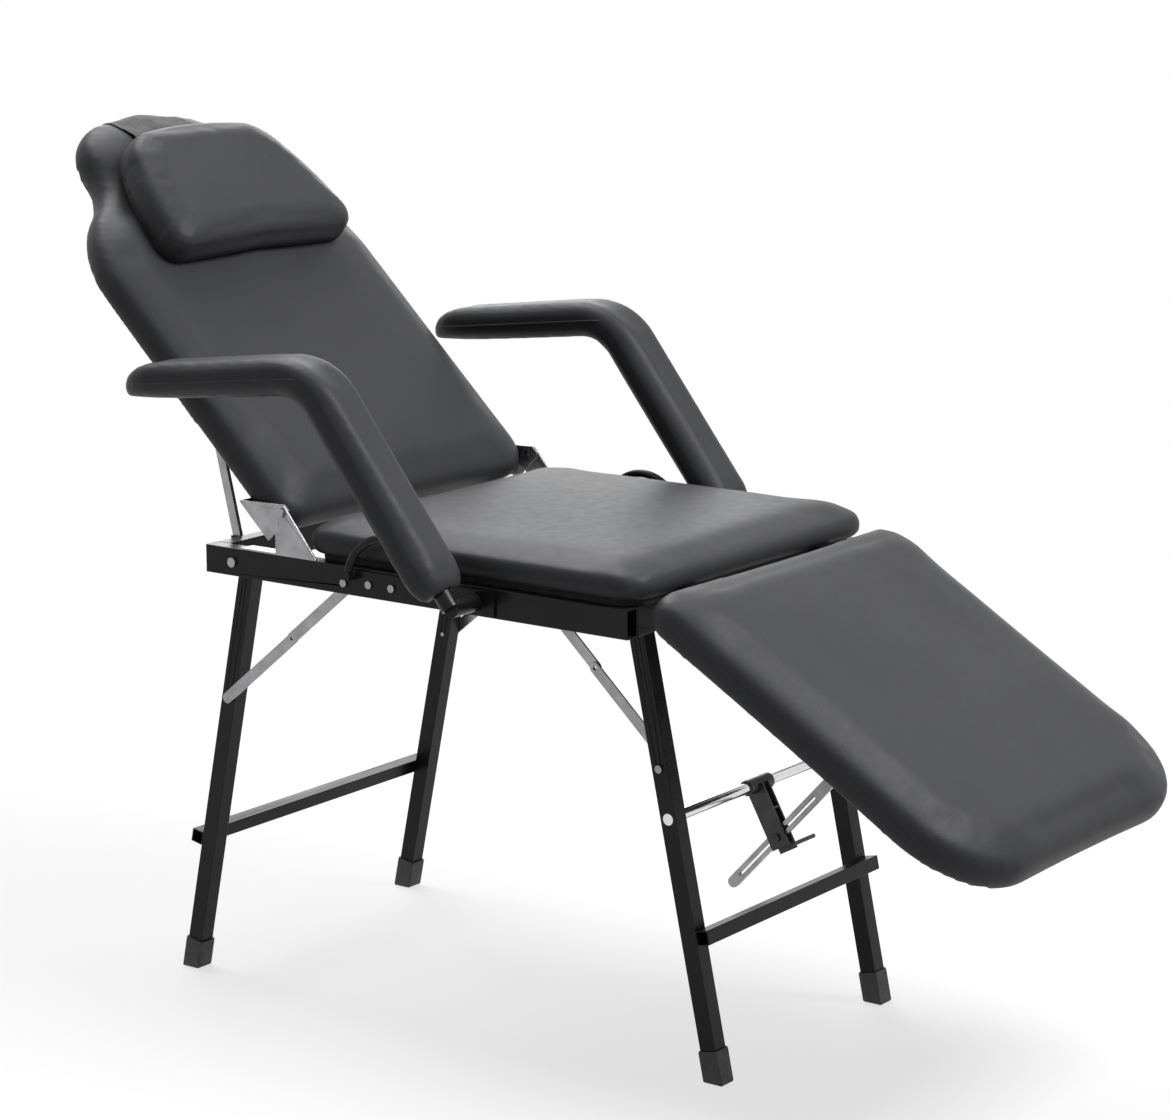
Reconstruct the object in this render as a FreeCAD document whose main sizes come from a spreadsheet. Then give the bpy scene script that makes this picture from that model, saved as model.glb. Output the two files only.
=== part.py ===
import FreeCAD, Part
import math
import os
import re
from types import SimpleNamespace

# Folding facial treatment chair. Millimetres, +Z up, the sitter looks along -Y.
# Places along Y are counted from the rear edge of the seat and moved by datum at the end.
SIZES = [
    ("frame_width", 584, "outside of the side rails"),
    ("rail_thick", 25, "side rail across"),
    ("rail_tall", 40, "side rail up and down"),
    ("tube_wall", 1.5, "wall of every square tube"),
    ("rail_top", 652, "top of the rails above the floor"),
    ("rail_behind", 171, "rail behind the seat's rear edge"),
    ("rail_short", 14, "seat's front edge ahead of the rails"),
    ("seat_wide", 576, "seat cushion across"),
    ("seat_deep", 575, "seat cushion front to back"),
    ("seat_thick", 43, "seat cushion at its crown"),
    ("seat_lift", 8, "underside of the seat cushion above the rails"),
    ("seat_corner", 38, "corner radius of the seat"),
    ("board_thick", 12, "plywood under each pad"),
    ("board_inset", 14, "board edge inside the pad's edge"),
    ("soft_gap", 0.3, "room between a pad and what it wraps"),
    ("back_pivot_behind", 30, "back pivot behind the seat's rear edge"),
    ("back_pivot_up", 61, "back pivot above the rails"),
    ("back_lean", 44, "backrest above level, degrees"),
    ("back_wide", 560, "backrest across"),
    ("back_long", 750, "backrest bottom to head"),
    ("back_thick", 62, "backrest pad at its crown"),
    ("back_below", 13, "backrest bottom edge below its pivot"),
    ("back_front", 15, "front face ahead of the pivot"),
    ("hinge_plate", 2.5, "steel of the back hinge plates"),
    ("hinge_gap", 0.5, "room between moving plates"),
    ("hinge_foot_ahead", 63, "fixed hinge foot ahead of the pivot"),
    ("hinge_foot_behind", 75, "fixed hinge foot behind the pivot"),
    ("hinge_ear", 11, "radius of the hinge plates round the pin"),
    ("hinge_arm_long", 62, "moving hinge plate along the backrest"),
    ("hinge_flange", 24, "flanges of the hinge plates across"),
    ("pin_radius", 4, "hinge pins and pivot bolts"),
    ("pin_gap", 0.05, "running clearance on a pin"),
    ("head_radius", 7, "head of a pivot bolt"),
    ("head_tall", 4, "head of a pivot bolt"),
    ("prop_pivot_up", 28, "prop pivot above the rails' underside"),
    ("prop_pivot_behind", 10, "prop pivot behind the rear cross rail"),
    ("prop_lean", 13.8, "prop off upright, degrees"),
    ("prop_spread", 420, "prop arms apart"),
    ("prop_wide", 14, "prop bar"),
    ("prop_thick", 6, "prop bar across"),
    ("prop_rod_radius", 5, "rod between the prop arms"),
    ("prop_rod_depth", 15, "rod centre behind the backrest"),
    ("lug_plate", 3, "steel of the small lugs"),
    ("lug_half", 10, "half width of the small lugs"),
    ("rack_deep", 8, "rack standing off the backrest"),
    ("rack_long", 150, "rack along the backrest"),
    ("rack_inset", 22, "rack inboard of the prop arms"),
    ("rack_tooth_pitch", 15, "notches of the rack"),
    ("rack_notch_radius", 3, "notch radius"),
    ("foot_pivot_ahead", 13, "footrest pivot ahead of the rails"),
    ("foot_pivot_drop", 0, "footrest pivot below the rails' top"),
    ("foot_drop", 31, "footrest below level, degrees"),
    ("foot_start", 9, "footrest pad ahead of its pivot"),
    ("foot_wide", 592, "footrest across"),
    ("foot_long", 586, "footrest pad length"),
    ("foot_thick", 62, "footrest pad at its crown"),
    ("foot_below", 9, "footrest underside below its pivot"),
    ("foot_corner", 125, "corner radius at the foot end"),
    ("foot_hinge_spread", 330, "footrest hinges apart"),
    ("foot_hinge_wide", 60, "one footrest hinge across"),
    ("foot_leaf_long", 55, "leaf of a footrest hinge"),
    ("foot_barrel_radius", 7, "barrel of a footrest hinge"),
    ("foot_leaf_thick", 2, "leaf of a footrest hinge"),
    ("strut_lug_ahead", 272, "strut pin ahead of the footrest pivot"),
    ("strut_lug_drop", 24, "strut pin below the footrest"),
    ("strut_angle", 47.5, "strut above level, degrees"),
    ("strut_long", 372, "strut from its pin to its tail"),
    ("strut_wide", 16, "strut bar"),
    ("strut_thick", 8, "strut bar across"),
    ("strut_slot_long", 180, "slot along the strut"),
    ("strut_slot_wide", 4, "slot along the strut"),
    ("leg_size", 25, "square leg tube"),
    ("leg_above", 12, "leg above its pivot"),
    ("leg_pivot_up", 20, "leg pivots above the rails' underside"),
    ("leg_gap", 7, "rear leg inside the rail"),
    ("front_leg_spread", 408, "front legs apart, centres"),
    ("front_leg_lean", 12.1, "front legs off upright, degrees"),
    ("front_leg_back", 20, "front pivots behind the front cross rail"),
    ("rear_leg_lean", 11.4, "rear legs off upright, degrees"),
    ("rear_leg_ahead", 25, "rear pivots ahead of the rear cross rail"),
    ("crossbar_wide", 20, "leg crossbar up and down"),
    ("crossbar_deep", 20, "leg crossbar front to back"),
    ("front_crossbar_down", 446, "front crossbar below its pivots"),
    ("rear_crossbar_down", 442, "rear crossbar below its pivots"),
    ("lock_bar_down", 283, "lock bar below the front pivots"),
    ("lock_bar_radius", 8, "lock bar"),
    ("cap_wall", 2.5, "wall of a foot cap"),
    ("cap_tall", 34, "foot cap along the leg"),
    ("cap_sole", 12, "foot cap below the tube"),
    ("stay_wide", 16, "stay links"),
    ("stay_thick", 3, "stay links"),
    ("stay_gap", 0.3, "room beside a stay link"),
    ("stay_down", 214, "stay below the pivots along the leg"),
    ("front_stay_back", 177, "front stay root behind the front pivots"),
    ("rear_stay_ahead", 204, "rear stay root ahead of the rear pivots"),
    ("stay_drop", 4, "stay roots below the leg pivots"),
    ("front_fold", 102.1, "front leg fold, degrees"),
    ("rear_fold", 100.4, "rear leg fold, degrees"),
    ("bracket_angle", 29, "lock bracket off upright, degrees"),
    ("bracket_wide", 30, "lock bracket side to side"),
    ("bracket_thick", 3, "lock bracket steel"),
    ("bracket_long", 101, "lock bracket below the bar"),
    ("bracket_near_long", 93, "near cheek below the bar"),
    ("bracket_web_down", 40, "web below the bar"),
    ("bracket_collar_long", 54, "collar along the bar"),
    ("bracket_play", 1.5, "room beside the strut"),
    ("lever_radius", 3, "release lever rod"),
    ("lever_long", 66, "release lever beyond the bracket"),
    ("arm_reach", 56, "armrest's middle outside the side rails"),
    ("arm_pad_wide", 84, "armrest pad across"),
    ("arm_pad_thick", 44, "armrest pad through at its tip"),
    ("arm_post_thick", 52, "armrest pad through at its foot"),
    ("arm_tube_radius", 12.5, "armrest tube"),
    ("arm_root_ahead", 314, "armrest tube foot ahead of the seat's rear"),
    ("arm_bend_ahead", 84, "armrest bend ahead of the seat's rear"),
    ("arm_bend_up", 295, "armrest bend above its foot"),
    ("arm_tip_behind", 194, "armrest tip behind the seat's rear"),
    ("arm_tip_drop", 33, "armrest tip below its bend"),
    ("arm_bend_radius", 85, "armrest bend radius"),
    ("arm_heel_up", 54, "full armrest pad above the tube's foot"),
    ("arm_heel_long", 32, "tapered lower end of the armrest pad"),
    ("arm_tip_long", 60, "tapered end of the armrest pad"),
    ("arm_plate_thick", 4, "armrest base plate"),
    ("arm_plate_tall", 34, "armrest base plate"),
    ("arm_plate_rear", 96, "armrest base plate starts behind this"),
    ("arm_plate_long", 250, "armrest base plate"),
    ("brace_radius", 6, "brace rod"),
    ("brace_span", 130, "brace rod feet apart"),
    ("brace_rise", 52, "brace rod rise"),
    ("bolt_radius", 3, "small bolts"),
    ("bolt_head_radius", 5.5, "small bolt heads"),
    ("bolt_head_tall", 3, "small bolt heads"),
    ("pillow_wide", 388, "pillow across its base"),
    ("pillow_tall", 206, "pillow along the backrest"),
    ("pillow_thick", 62, "pillow at its crown"),
    ("pillow_from_head", 91, "pillow top below the head of the backrest"),
    ("strap_wide", 150, "pillow strap across"),
    ("strap_thick", 1.5, "pillow strap"),
    ("strap_back_long", 120, "pillow strap down the back"),
    ("strap_under", 30, "pillow strap under the pillow"),
]

doc = FreeCAD.newDocument("facial_chair")
sheet = doc.addObject("Spreadsheet::Sheet", "sizes")
for row, (alias, number, note) in enumerate(SIZES, start=1):
    sheet.set(f"A{row}", note)
    sheet.set(f"B{row}", str(number))
    sheet.setAlias(f"B{row}", alias)
doc.recompute()
d = SimpleNamespace(**{alias: float(sheet.get(alias)) for alias, number, note in SIZES})
parts = []


# Shared ways of making and placing a piece
def bound(item, prop, value):
    """Ties a property to the sheet when the value is a formula, and sets it when it is a number."""
    if isinstance(value, str):
        formula = re.sub(r"[a-z_]+", lambda word: "sizes." + word.group(), value)
        item.setExpression(prop, formula)
    else:
        setattr(item, prop, value)


def box(name, size, corner):
    item = doc.addObject("Part::Box", name)
    for prop, value in zip(("Length", "Width", "Height"), size):
        bound(item, prop, value)
    item.Placement.Base = FreeCAD.Vector(*corner)
    return item


def rod_x(name, radius, length, middle):
    """A cylinder along X whose middle is given."""
    item = doc.addObject("Part::Cylinder", name)
    bound(item, "Radius", radius)
    item.Height = length
    start = FreeCAD.Vector(middle[0] - length / 2, middle[1], middle[2])
    item.Placement = FreeCAD.Placement(start, FreeCAD.Rotation(FreeCAD.Vector(0, 1, 0), 90))
    return item


def cut(name, base, *tools):
    for number, tool in enumerate(tools):
        item = doc.addObject("Part::Cut", f"{name}_cut_{number}")
        item.Base = base
        item.Tool = tool
        base = item
    return base


def fuse(name, *pieces):
    item = doc.addObject("Part::MultiFuse", name)
    item.Shapes = list(pieces)
    item.Refine = True
    return item


def group(name, *pieces):
    item = doc.addObject("Part::Compound", name)
    item.Links = list(pieces)
    return item


def mirrored(name, source):
    item = doc.addObject("Part::Mirroring", name)
    item.Source = source
    item.Base = FreeCAD.Vector(0, 0, 0)
    item.Normal = FreeCAD.Vector(1, 0, 0)
    return item


def feature(name, shape):
    item = doc.addObject("Part::Feature", name)
    item.Shape = shape
    return item


def turned(item, pivot, angle, x=0):
    """Places a piece made about its pivot, turned about X."""
    item.Placement = FreeCAD.Placement(
        FreeCAD.Vector(x, pivot[0], pivot[1]),
        FreeCAD.Rotation(FreeCAD.Vector(1, 0, 0), angle),
    )
    return item


def keep(label, item):
    item.Label = label
    parts.append(item)


def keep_pair(label, left):
    """Keeps a piece of the sitter's left, at +X, and its mirror image on the right."""
    keep("left_" + label, left)
    keep("right_" + label, mirrored("right_" + label, left))


def keep_both(label, left):
    """Keeps a small piece of the left and its mirror image on the right as one group."""
    keep(label, group(label, left, mirrored("right_" + label, left)))


def plate(name, outline, thickness, x):
    """A flat plate across X: its outline in Y and Z, and the X of its inner face."""
    body = doc.addObject("PartDesign::Body", name)
    plane = [item for item in body.Origin.OriginFeatures if item.Role == "YZ_Plane"][0]
    sketch = body.newObject("Sketcher::SketchObject", name + "_outline")
    sketch.AttachmentSupport = [(plane, "")]
    sketch.MapMode = "FlatFace"
    points = [FreeCAD.Vector(y, z, 0) for y, z in outline]
    for start, end in zip(points, points[1:] + points[:1]):
        sketch.addGeometry(Part.LineSegment(start, end))
    pad = body.newObject("PartDesign::Pad", name + "_pad")
    pad.Profile = sketch
    bound(pad, "Length", thickness)
    body.Placement.Base = FreeCAD.Vector(x, 0, 0)
    return body


def square_tube(name, size, length, corner, along):
    """A hollow square or flat tube: its two outside sizes, its length and the axis that it runs along."""
    wide, tall = size
    inner = (wide - 2 * d.tube_wall, tall - 2 * d.tube_wall)
    x, y, z = corner
    if along == "x":
        outside = box(name + "_outside", (length, wide, tall), corner)
        hollow = box(name + "_hollow", (length, *inner), (x, y + d.tube_wall, z + d.tube_wall))
    elif along == "y":
        outside = box(name + "_outside", (wide, length, tall), corner)
        hollow = box(name + "_hollow", (inner[0], length, inner[1]), (x + d.tube_wall, y, z + d.tube_wall))
    else:
        outside = box(name + "_outside", (wide, tall, length), corner)
        hollow = box(name + "_hollow", (*inner, length), (x + d.tube_wall, y + d.tube_wall, z))
    return cut(name, outside, hollow)


def bolt_x(name, radius, head_radius, head_tall, inner, outer, y, z):
    """A bolt along X from its tip at inner to its head, which sits on the face at outer."""
    shank = rod_x(name + "_shank", radius, outer - inner, ((inner + outer) / 2, y, z))
    head = rod_x(name + "_head", head_radius, head_tall, (outer + head_tall / 2, y, z))
    return fuse(name, shank, head)


def hole_x(name, radius, inner, outer, y, z):
    return rod_x(name, radius, outer - inner, ((inner + outer) / 2, y, z))


# Soft pads: an outline of arcs and lines is drawn in towards the bottom and the crown
def outline_wire(stretches, level):
    """A closed wire at one level: each stretch is two points for a line or three for an arc."""
    edges = []
    for stretch in stretches:
        points = [FreeCAD.Vector(x, y, level) for x, y in stretch]
        if len(points) == 2:
            edges.append(Part.LineSegment(*points).toShape())
        else:
            edges.append(Part.Arc(*points).toShape())
    return Part.Wire(edges)


def drawn_in(stretches, inset, wide, low, high):
    """The outline drawn in by the inset on all sides."""
    across_share = (wide / 2 - inset) / (wide / 2)
    middle = (low + high) / 2
    along_share = (high - low - 2 * inset) / (high - low)
    return [
        [(x * across_share, middle + (y - middle) * along_share) for x, y in stretch]
        for stretch in stretches
    ]


pad_level_shares = (
    (0, 0.35),
    (0.16, 0.05),
    (0.34, 0),
    (0.6, 0.04),
    (0.78, 0.3),
    (0.9, 1),
    (0.97, 2.4),
    (1, 4.6),
)
seat_roll_share, back_roll_share, pillow_roll_share, foot_roll_share = 0.42, 0.4, 0.13, 0.36
side_draw_share = 1 / 16


def pad_solid(stretches, wide, low, high, bottom, thick, roll):
    """A crowned pad: its edge rolls in by roll at the bottom and top, and the crown rises to thick."""
    wires = []
    for level_share, inset_share in pad_level_shares:
        section = drawn_in(stretches, inset_share * roll, wide, low, high)
        wires.append(outline_wire(section, bottom + level_share * thick))
    return Part.makeLoft(wires, True, True)


def board_solid(stretches, wide, low, high, bottom, inset, thick):
    wire = outline_wire(drawn_in(stretches, inset, wide, low, high), bottom)
    return Part.Face(wire).extrude(FreeCAD.Vector(0, 0, thick))


def corner_arc(centre, radius, start):
    """A quarter circle from the start angle, as three points."""
    angles = [math.radians(start + step * 45) for step in range(3)]
    return [(centre[0] + radius * math.cos(a), centre[1] + radius * math.sin(a)) for a in angles]


def round_rectangle(wide, low, high, low_radius, high_radius):
    """Rounded rectangle whose sides are drawn in between the corners."""
    half = wide / 2
    draw = min(low_radius, high_radius) * side_draw_share
    left_low = corner_arc((-half + low_radius, low + low_radius), low_radius, 180)
    right_low = corner_arc((half - low_radius, low + low_radius), low_radius, 270)
    right_high = corner_arc((half - high_radius, high - high_radius), high_radius, 0)
    left_high = corner_arc((-half + high_radius, high - high_radius), high_radius, 90)
    middle = (low + high) / 2
    return [
        left_low,
        [left_low[2], (0, low + draw), right_low[0]],
        right_low,
        [right_low[2], (half - draw, middle), right_high[0]],
        right_high,
        [right_high[2], (0, high - draw), left_high[0]],
        left_high,
        [left_high[2], (-half + draw, middle), left_low[0]],
    ]


def both_sides(right_half):
    """An outline from its right half, bottom middle to top middle."""
    left_half = [[(-x, y) for x, y in reversed(stretch)] for stretch in reversed(right_half)]
    return right_half + left_half


# Places that more than one piece uses
datum = -(
    -(d.seat_deep - d.rail_short + d.foot_pivot_ahead)
    - (d.foot_start + d.foot_long) * math.cos(math.radians(d.foot_drop))
    + d.back_pivot_behind
    + (d.back_long - d.back_below) * math.cos(math.radians(d.back_lean))
    + d.back_thick / 2 * math.sin(math.radians(d.back_lean))
) / 2
rail_out = d.frame_width / 2
rail_in = rail_out - d.rail_thick
rail_low = d.rail_top - d.rail_tall
rail_rear = datum + d.rail_behind
rail_front = datum - d.seat_deep + d.rail_short
back_pivot = (datum + d.back_pivot_behind, d.rail_top + d.back_pivot_up)
foot_pivot = (rail_front - d.foot_pivot_ahead, d.rail_top - d.foot_pivot_drop)
leg_pivot_z = rail_low + d.leg_pivot_up
front_pivot = (rail_front + d.rail_thick + d.front_leg_back, leg_pivot_z)
rear_pivot = (rail_rear - d.rail_thick - d.rear_leg_ahead, leg_pivot_z)
prop_pivot = (rail_rear + d.prop_pivot_behind, rail_low + d.prop_pivot_up)
hole_radius = d.pin_radius + d.pin_gap
bolt_hole = d.bolt_radius + d.pin_gap


def along(pivot, angle, distance):
    """The point at a distance from a pivot, the angle counted from +Y towards +Z."""
    turn = math.radians(angle)
    return (pivot[0] + distance * math.cos(turn), pivot[1] + distance * math.sin(turn))


# Armrest places
arm_x = rail_out + d.arm_reach
arm_plate_z = rail_low + (d.rail_tall - d.arm_plate_tall) / 2
arm_foot = (datum - d.arm_root_ahead, rail_low + d.rail_tall / 2)
arm_bend = (datum - d.arm_bend_ahead, arm_foot[1] + d.arm_bend_up)
arm_tip = (datum + d.arm_tip_behind, arm_bend[1] - d.arm_tip_drop)
arm_plate_rear = datum - d.arm_plate_rear
arm_plate_front = arm_plate_rear - d.arm_plate_long
arm_bolt_y_shares = (0.14, 0.3, 0.62, 0.8)
arm_bolt_places = [arm_plate_rear - share * d.arm_plate_long for share in arm_bolt_y_shares]
arm_bolt_z = arm_plate_z + d.arm_plate_tall / 2

# Seat frame: two side rails, a cross rail at each end, welded into one frame
side_rail = square_tube(
    "left_rail", (d.rail_thick, d.rail_tall), rail_rear - rail_front, (rail_in, rail_front, rail_low), "y"
)
rear_stay_root = (rear_pivot[0] - d.rear_stay_ahead, leg_pivot_z - d.stay_drop)
rail_holes = [
    hole_x("rear_pivot_hole", hole_radius, rail_in, rail_out, *rear_pivot),
    hole_x("rear_stay_hole", bolt_hole, rail_in, rail_out, *rear_stay_root),
]
for number, y in enumerate(arm_bolt_places):
    rail_holes.append(hole_x(f"arm_bolt_hole_{number}", bolt_hole, rail_in, rail_out, y, arm_bolt_z))
keep_pair("side_rail", cut("left_rail_drilled", side_rail, *rail_holes))
for label, y in (("front_cross_rail", rail_front), ("rear_cross_rail", rail_rear - d.rail_thick)):
    keep(label, square_tube(label, (d.rail_thick, d.rail_tall), 2 * rail_in, (-rail_in, y, rail_low), "x"))

# Seat: plywood board on the rails, and the cushion that wraps it
seat_outline = round_rectangle(d.seat_wide, datum - d.seat_deep, datum, d.seat_corner, d.seat_corner)
seat_frame_args = (d.seat_wide, datum - d.seat_deep, datum)
seat_board = board_solid(seat_outline, *seat_frame_args, d.rail_top, d.board_inset, d.board_thick)
seat_room = board_solid(
    seat_outline, *seat_frame_args, d.rail_top, d.board_inset - d.soft_gap, d.board_thick + d.soft_gap
)
seat_roll = d.seat_thick * seat_roll_share
seat_pad = pad_solid(seat_outline, *seat_frame_args, d.rail_top + d.seat_lift, d.seat_thick, seat_roll)
keep("seat_board", feature("seat_board", seat_board))
keep("seat_cushion", feature("seat_cushion", seat_pad.cut(seat_room)))

# Back hinges: a fixed plate standing on each rail, a moving plate on the backrest, one pin each side
pivot_y, pivot_z = back_pivot
fixed_x = rail_out - d.hinge_plate
moving_x = fixed_x - d.hinge_gap - d.hinge_plate
ear = d.hinge_ear
fixed_outline = [
    (pivot_y - d.hinge_foot_ahead, d.rail_top),
    (pivot_y + ear, d.rail_top),
    (pivot_y + ear, pivot_z + ear / 2),
    (pivot_y + ear / 2, pivot_z + ear),
    (pivot_y - ear / 2, pivot_z + ear),
    (pivot_y - d.hinge_foot_ahead, d.rail_top + d.hinge_plate),
]
fixed_plate = plate("fixed_hinge_upright", fixed_outline, "hinge_plate", fixed_x)
fixed_flange = box(
    "fixed_hinge_flange",
    ("hinge_flange", d.hinge_foot_behind, "hinge_plate"),
    (rail_out - d.hinge_flange, pivot_y, d.rail_top),
)
fixed_hole = hole_x("fixed_hinge_hole", hole_radius, fixed_x, rail_out, pivot_y, pivot_z)
fixed_bent = fuse("fixed_hinge_bent", fixed_plate, fixed_flange)
keep_pair("hinge_bracket", cut("fixed_hinge", fixed_bent, fixed_hole))
hinge_pin = bolt_x(
    "left_hinge_pin", d.pin_radius, d.head_radius, d.head_tall, moving_x, rail_out, *back_pivot
)
keep_both("back_hinge_pins", hinge_pin)
back_rear = d.back_front - d.back_thick
arm_outline = [
    (-ear, ear / 2),
    (-ear / 2, ear),
    (ear / 2, ear),
    (d.hinge_arm_long, back_rear),
    (d.hinge_arm_long, back_rear - d.hinge_plate),
    (-ear, back_rear - d.hinge_plate),
]
moving_plate = plate("moving_hinge_upright", arm_outline, "hinge_plate", moving_x)
moving_flange = box(
    "moving_hinge_flange",
    ("hinge_flange + hinge_plate", d.hinge_arm_long, "hinge_plate"),
    (moving_x - d.hinge_flange, 0, back_rear - d.hinge_plate),
)
moving_hole = hole_x("moving_hinge_hole", hole_radius, moving_x, fixed_x, 0, 0)
moving_hinge = cut("moving_hinge", fuse("moving_hinge_bent", moving_plate, moving_flange), moving_hole)
keep_pair("hinge_arm", turned(moving_hinge, back_pivot, d.back_lean))

# Backrest: straight sides, shoulders, a waist and a rounded head
half_back = d.back_wide / 2
back_low = -d.back_below
back_high = d.back_long - d.back_below
back_corner_start = 270
back_outline_shares = (
    (1, 0.6),
    (0.925, 0.695),
    (0.77, 0.765),
    (0.625, 0.82),
    (0.57, 0.88),
    (0.475, 0.955),
    (0.24, 0.985),
)


def back_point(shares):
    return (half_back * shares[0], back_low + d.back_long * shares[1])


corner = corner_arc((half_back - d.seat_corner, back_low + d.seat_corner), d.seat_corner, back_corner_start)
side_top, upper_side, shoulder, neck, waist, temple, cheek = [back_point(s) for s in back_outline_shares]
back_outline = both_sides([
    [(0, back_low), corner[0]],
    corner,
    [corner[2], side_top],
    [side_top, upper_side, shoulder],
    [shoulder, neck, waist],
    [waist, temple, cheek],
    [cheek, (0, back_high)],
])
back_args = (d.back_wide, back_low, back_high)
back_roll = d.back_thick * back_roll_share
back_board = board_solid(back_outline, *back_args, back_rear, d.board_inset, d.board_thick)
back_room = board_solid(
    back_outline, *back_args, back_rear, d.board_inset - d.soft_gap, d.board_thick + d.soft_gap
)
back_pad = pad_solid(back_outline, *back_args, back_rear, d.back_thick, back_roll)
keep("backrest_board", turned(feature("backrest_board", back_board), back_pivot, d.back_lean))
back_cushion = feature("backrest_cushion", back_pad.cut(back_room))
keep("backrest_cushion", turned(back_cushion, back_pivot, d.back_lean))

# Back prop: two bars and a rod, hinged behind the rear cross rail, whose rod leans on notched racks
prop_angle = 90 - d.prop_lean
lean = math.radians(d.back_lean)
rod_level = back_rear - d.prop_rod_depth
pivot_level = -(prop_pivot[0] - pivot_y) * math.sin(lean) + (prop_pivot[1] - pivot_z) * math.cos(lean)
prop_long = (rod_level - pivot_level) / math.sin(math.radians(prop_angle) - lean)
prop_x = d.prop_spread / 2
prop_bar = fuse(
    "prop_bar",
    box(
        "prop_bar_straight",
        ("prop_thick", prop_long, "prop_wide"),
        (prop_x - d.prop_thick / 2, 0, -d.prop_wide / 2),
    ),
    rod_x("prop_bar_foot", "prop_wide / 2", d.prop_thick, (prop_x, 0, 0)),
    rod_x("prop_bar_head", "prop_wide / 2", d.prop_thick, (prop_x, prop_long, 0)),
)
prop_bar_drilled = cut(
    "prop_bar_drilled",
    prop_bar,
    hole_x("prop_pin_hole", hole_radius, prop_x - d.prop_thick, prop_x + d.prop_thick, 0, 0),
)
keep_pair("prop_bar", turned(prop_bar_drilled, prop_pivot, prop_angle))
prop_rod = rod_x("prop_rod_round", "prop_rod_radius", d.prop_spread - d.prop_thick, (0, prop_long, 0))
keep("prop_rod", turned(group("prop_rod", prop_rod), prop_pivot, prop_angle))
clevis_out = prop_x + d.prop_thick / 2 + d.hinge_gap + d.lug_plate
clevis_in = prop_x - d.prop_thick / 2 - d.hinge_gap - d.lug_plate
lug_outline = [
    (rail_rear, prop_pivot[1] - d.lug_half),
    (prop_pivot[0] + d.lug_half, prop_pivot[1] - d.lug_half),
    (prop_pivot[0] + d.lug_half, prop_pivot[1] + d.lug_half),
    (rail_rear, prop_pivot[1] + d.lug_half),
]
lug_outer = plate("prop_lug_outer", lug_outline, "lug_plate", clevis_out - d.lug_plate)
lug_inner = plate("prop_lug_inner", lug_outline, "lug_plate", clevis_in)
prop_lugs = cut(
    "prop_lugs_drilled",
    group("prop_lugs_blank", lug_outer, lug_inner),
    hole_x("prop_lug_hole", hole_radius, clevis_in, clevis_out, *prop_pivot),
)
keep_both("prop_lugs", prop_lugs)
prop_pin = bolt_x("prop_pin", d.pin_radius, d.head_radius, d.head_tall, clevis_in, clevis_out, *prop_pivot)
keep_both("prop_pins", prop_pin)
rest_rod = along(prop_pivot, prop_angle, prop_long)
rod_rest_along = (rest_rod[0] - pivot_y) * math.cos(lean) + (rest_rod[1] - pivot_z) * math.sin(lean)
rack_x = prop_x - d.rack_inset
rack_low = rod_rest_along - d.rack_tooth_pitch
rack_upright = box(
    "rack_upright", ("lug_plate", "rack_long", "rack_deep"), (rack_x, rack_low, back_rear - d.rack_deep)
)
rack_base = box(
    "rack_base",
    ("hinge_flange", "rack_long", "hinge_plate"),
    (rack_x - d.hinge_flange + d.lug_plate, rack_low, back_rear - d.hinge_plate),
)
notches = [
    rod_x(
        f"rack_notch_{number}",
        "rack_notch_radius",
        2 * d.lug_plate,
        (rack_x + d.lug_plate / 2, rack_low + (number + 1) * d.rack_tooth_pitch, back_rear - d.rack_deep),
    )
    for number in range(int(d.rack_long / d.rack_tooth_pitch) - 1)
]
rack = cut("rack_notched", fuse("rack_angle", rack_upright, rack_base), *notches)
keep_both("prop_racks", turned(rack, back_pivot, d.back_lean))

# Pillow: flat base, sides leaning in, arched top; a wide strap goes over the head of the backrest
pillow_high = back_high - d.pillow_from_head
pillow_low = pillow_high - d.pillow_tall
half_pillow = d.pillow_wide / 2


pillow_outline_shares = (
    ((0, 0.03), (0.45, 0.01), (0.9, 0)),
    ((0.9, 0), (0.985, 0.05), (1, 0.17)),
    ((1, 0.17), (0.94, 0.45), (0.825, 0.73)),
    ((0.825, 0.73), (0.735, 0.87), (0.57, 0.965)),
    ((0.57, 0.965), (0.3, 0.99), (0, 1)),
)
pillow_outline = both_sides([
    [(half_pillow * across, pillow_low + d.pillow_tall * along_share) for across, along_share in stretch]
    for stretch in pillow_outline_shares
])
pillow_bottom = d.back_front + d.strap_thick + 2 * d.soft_gap
pillow_roll = d.pillow_thick * pillow_roll_share
pillow = feature("pillow", pad_solid(
    pillow_outline, d.pillow_wide, pillow_low, pillow_high, pillow_bottom, d.pillow_thick, pillow_roll
))
keep("pillow", turned(pillow, back_pivot, d.back_lean))
strap_x = -d.strap_wide / 2
strap_front = d.back_front + d.soft_gap
strap_low = pillow_high - d.strap_under
strap_top = back_high + d.soft_gap
strap_back = back_rear - d.soft_gap - d.strap_thick
strap_front_run = box(
    "strap_front_run",
    ("strap_wide", strap_top - strap_low, "strap_thick"),
    (strap_x, strap_low, strap_front),
)
strap_over = box(
    "strap_over",
    ("strap_wide", "strap_thick", strap_front + d.strap_thick - strap_back),
    (strap_x, strap_top, strap_back),
)
strap_back_run = box(
    "strap_back_run",
    ("strap_wide", "strap_back_long", "strap_thick"),
    (strap_x, strap_top - d.strap_back_long, strap_back),
)
strap = fuse("strap", strap_front_run, strap_over, strap_back_run)
keep("pillow_strap", turned(strap, back_pivot, d.back_lean))

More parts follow.
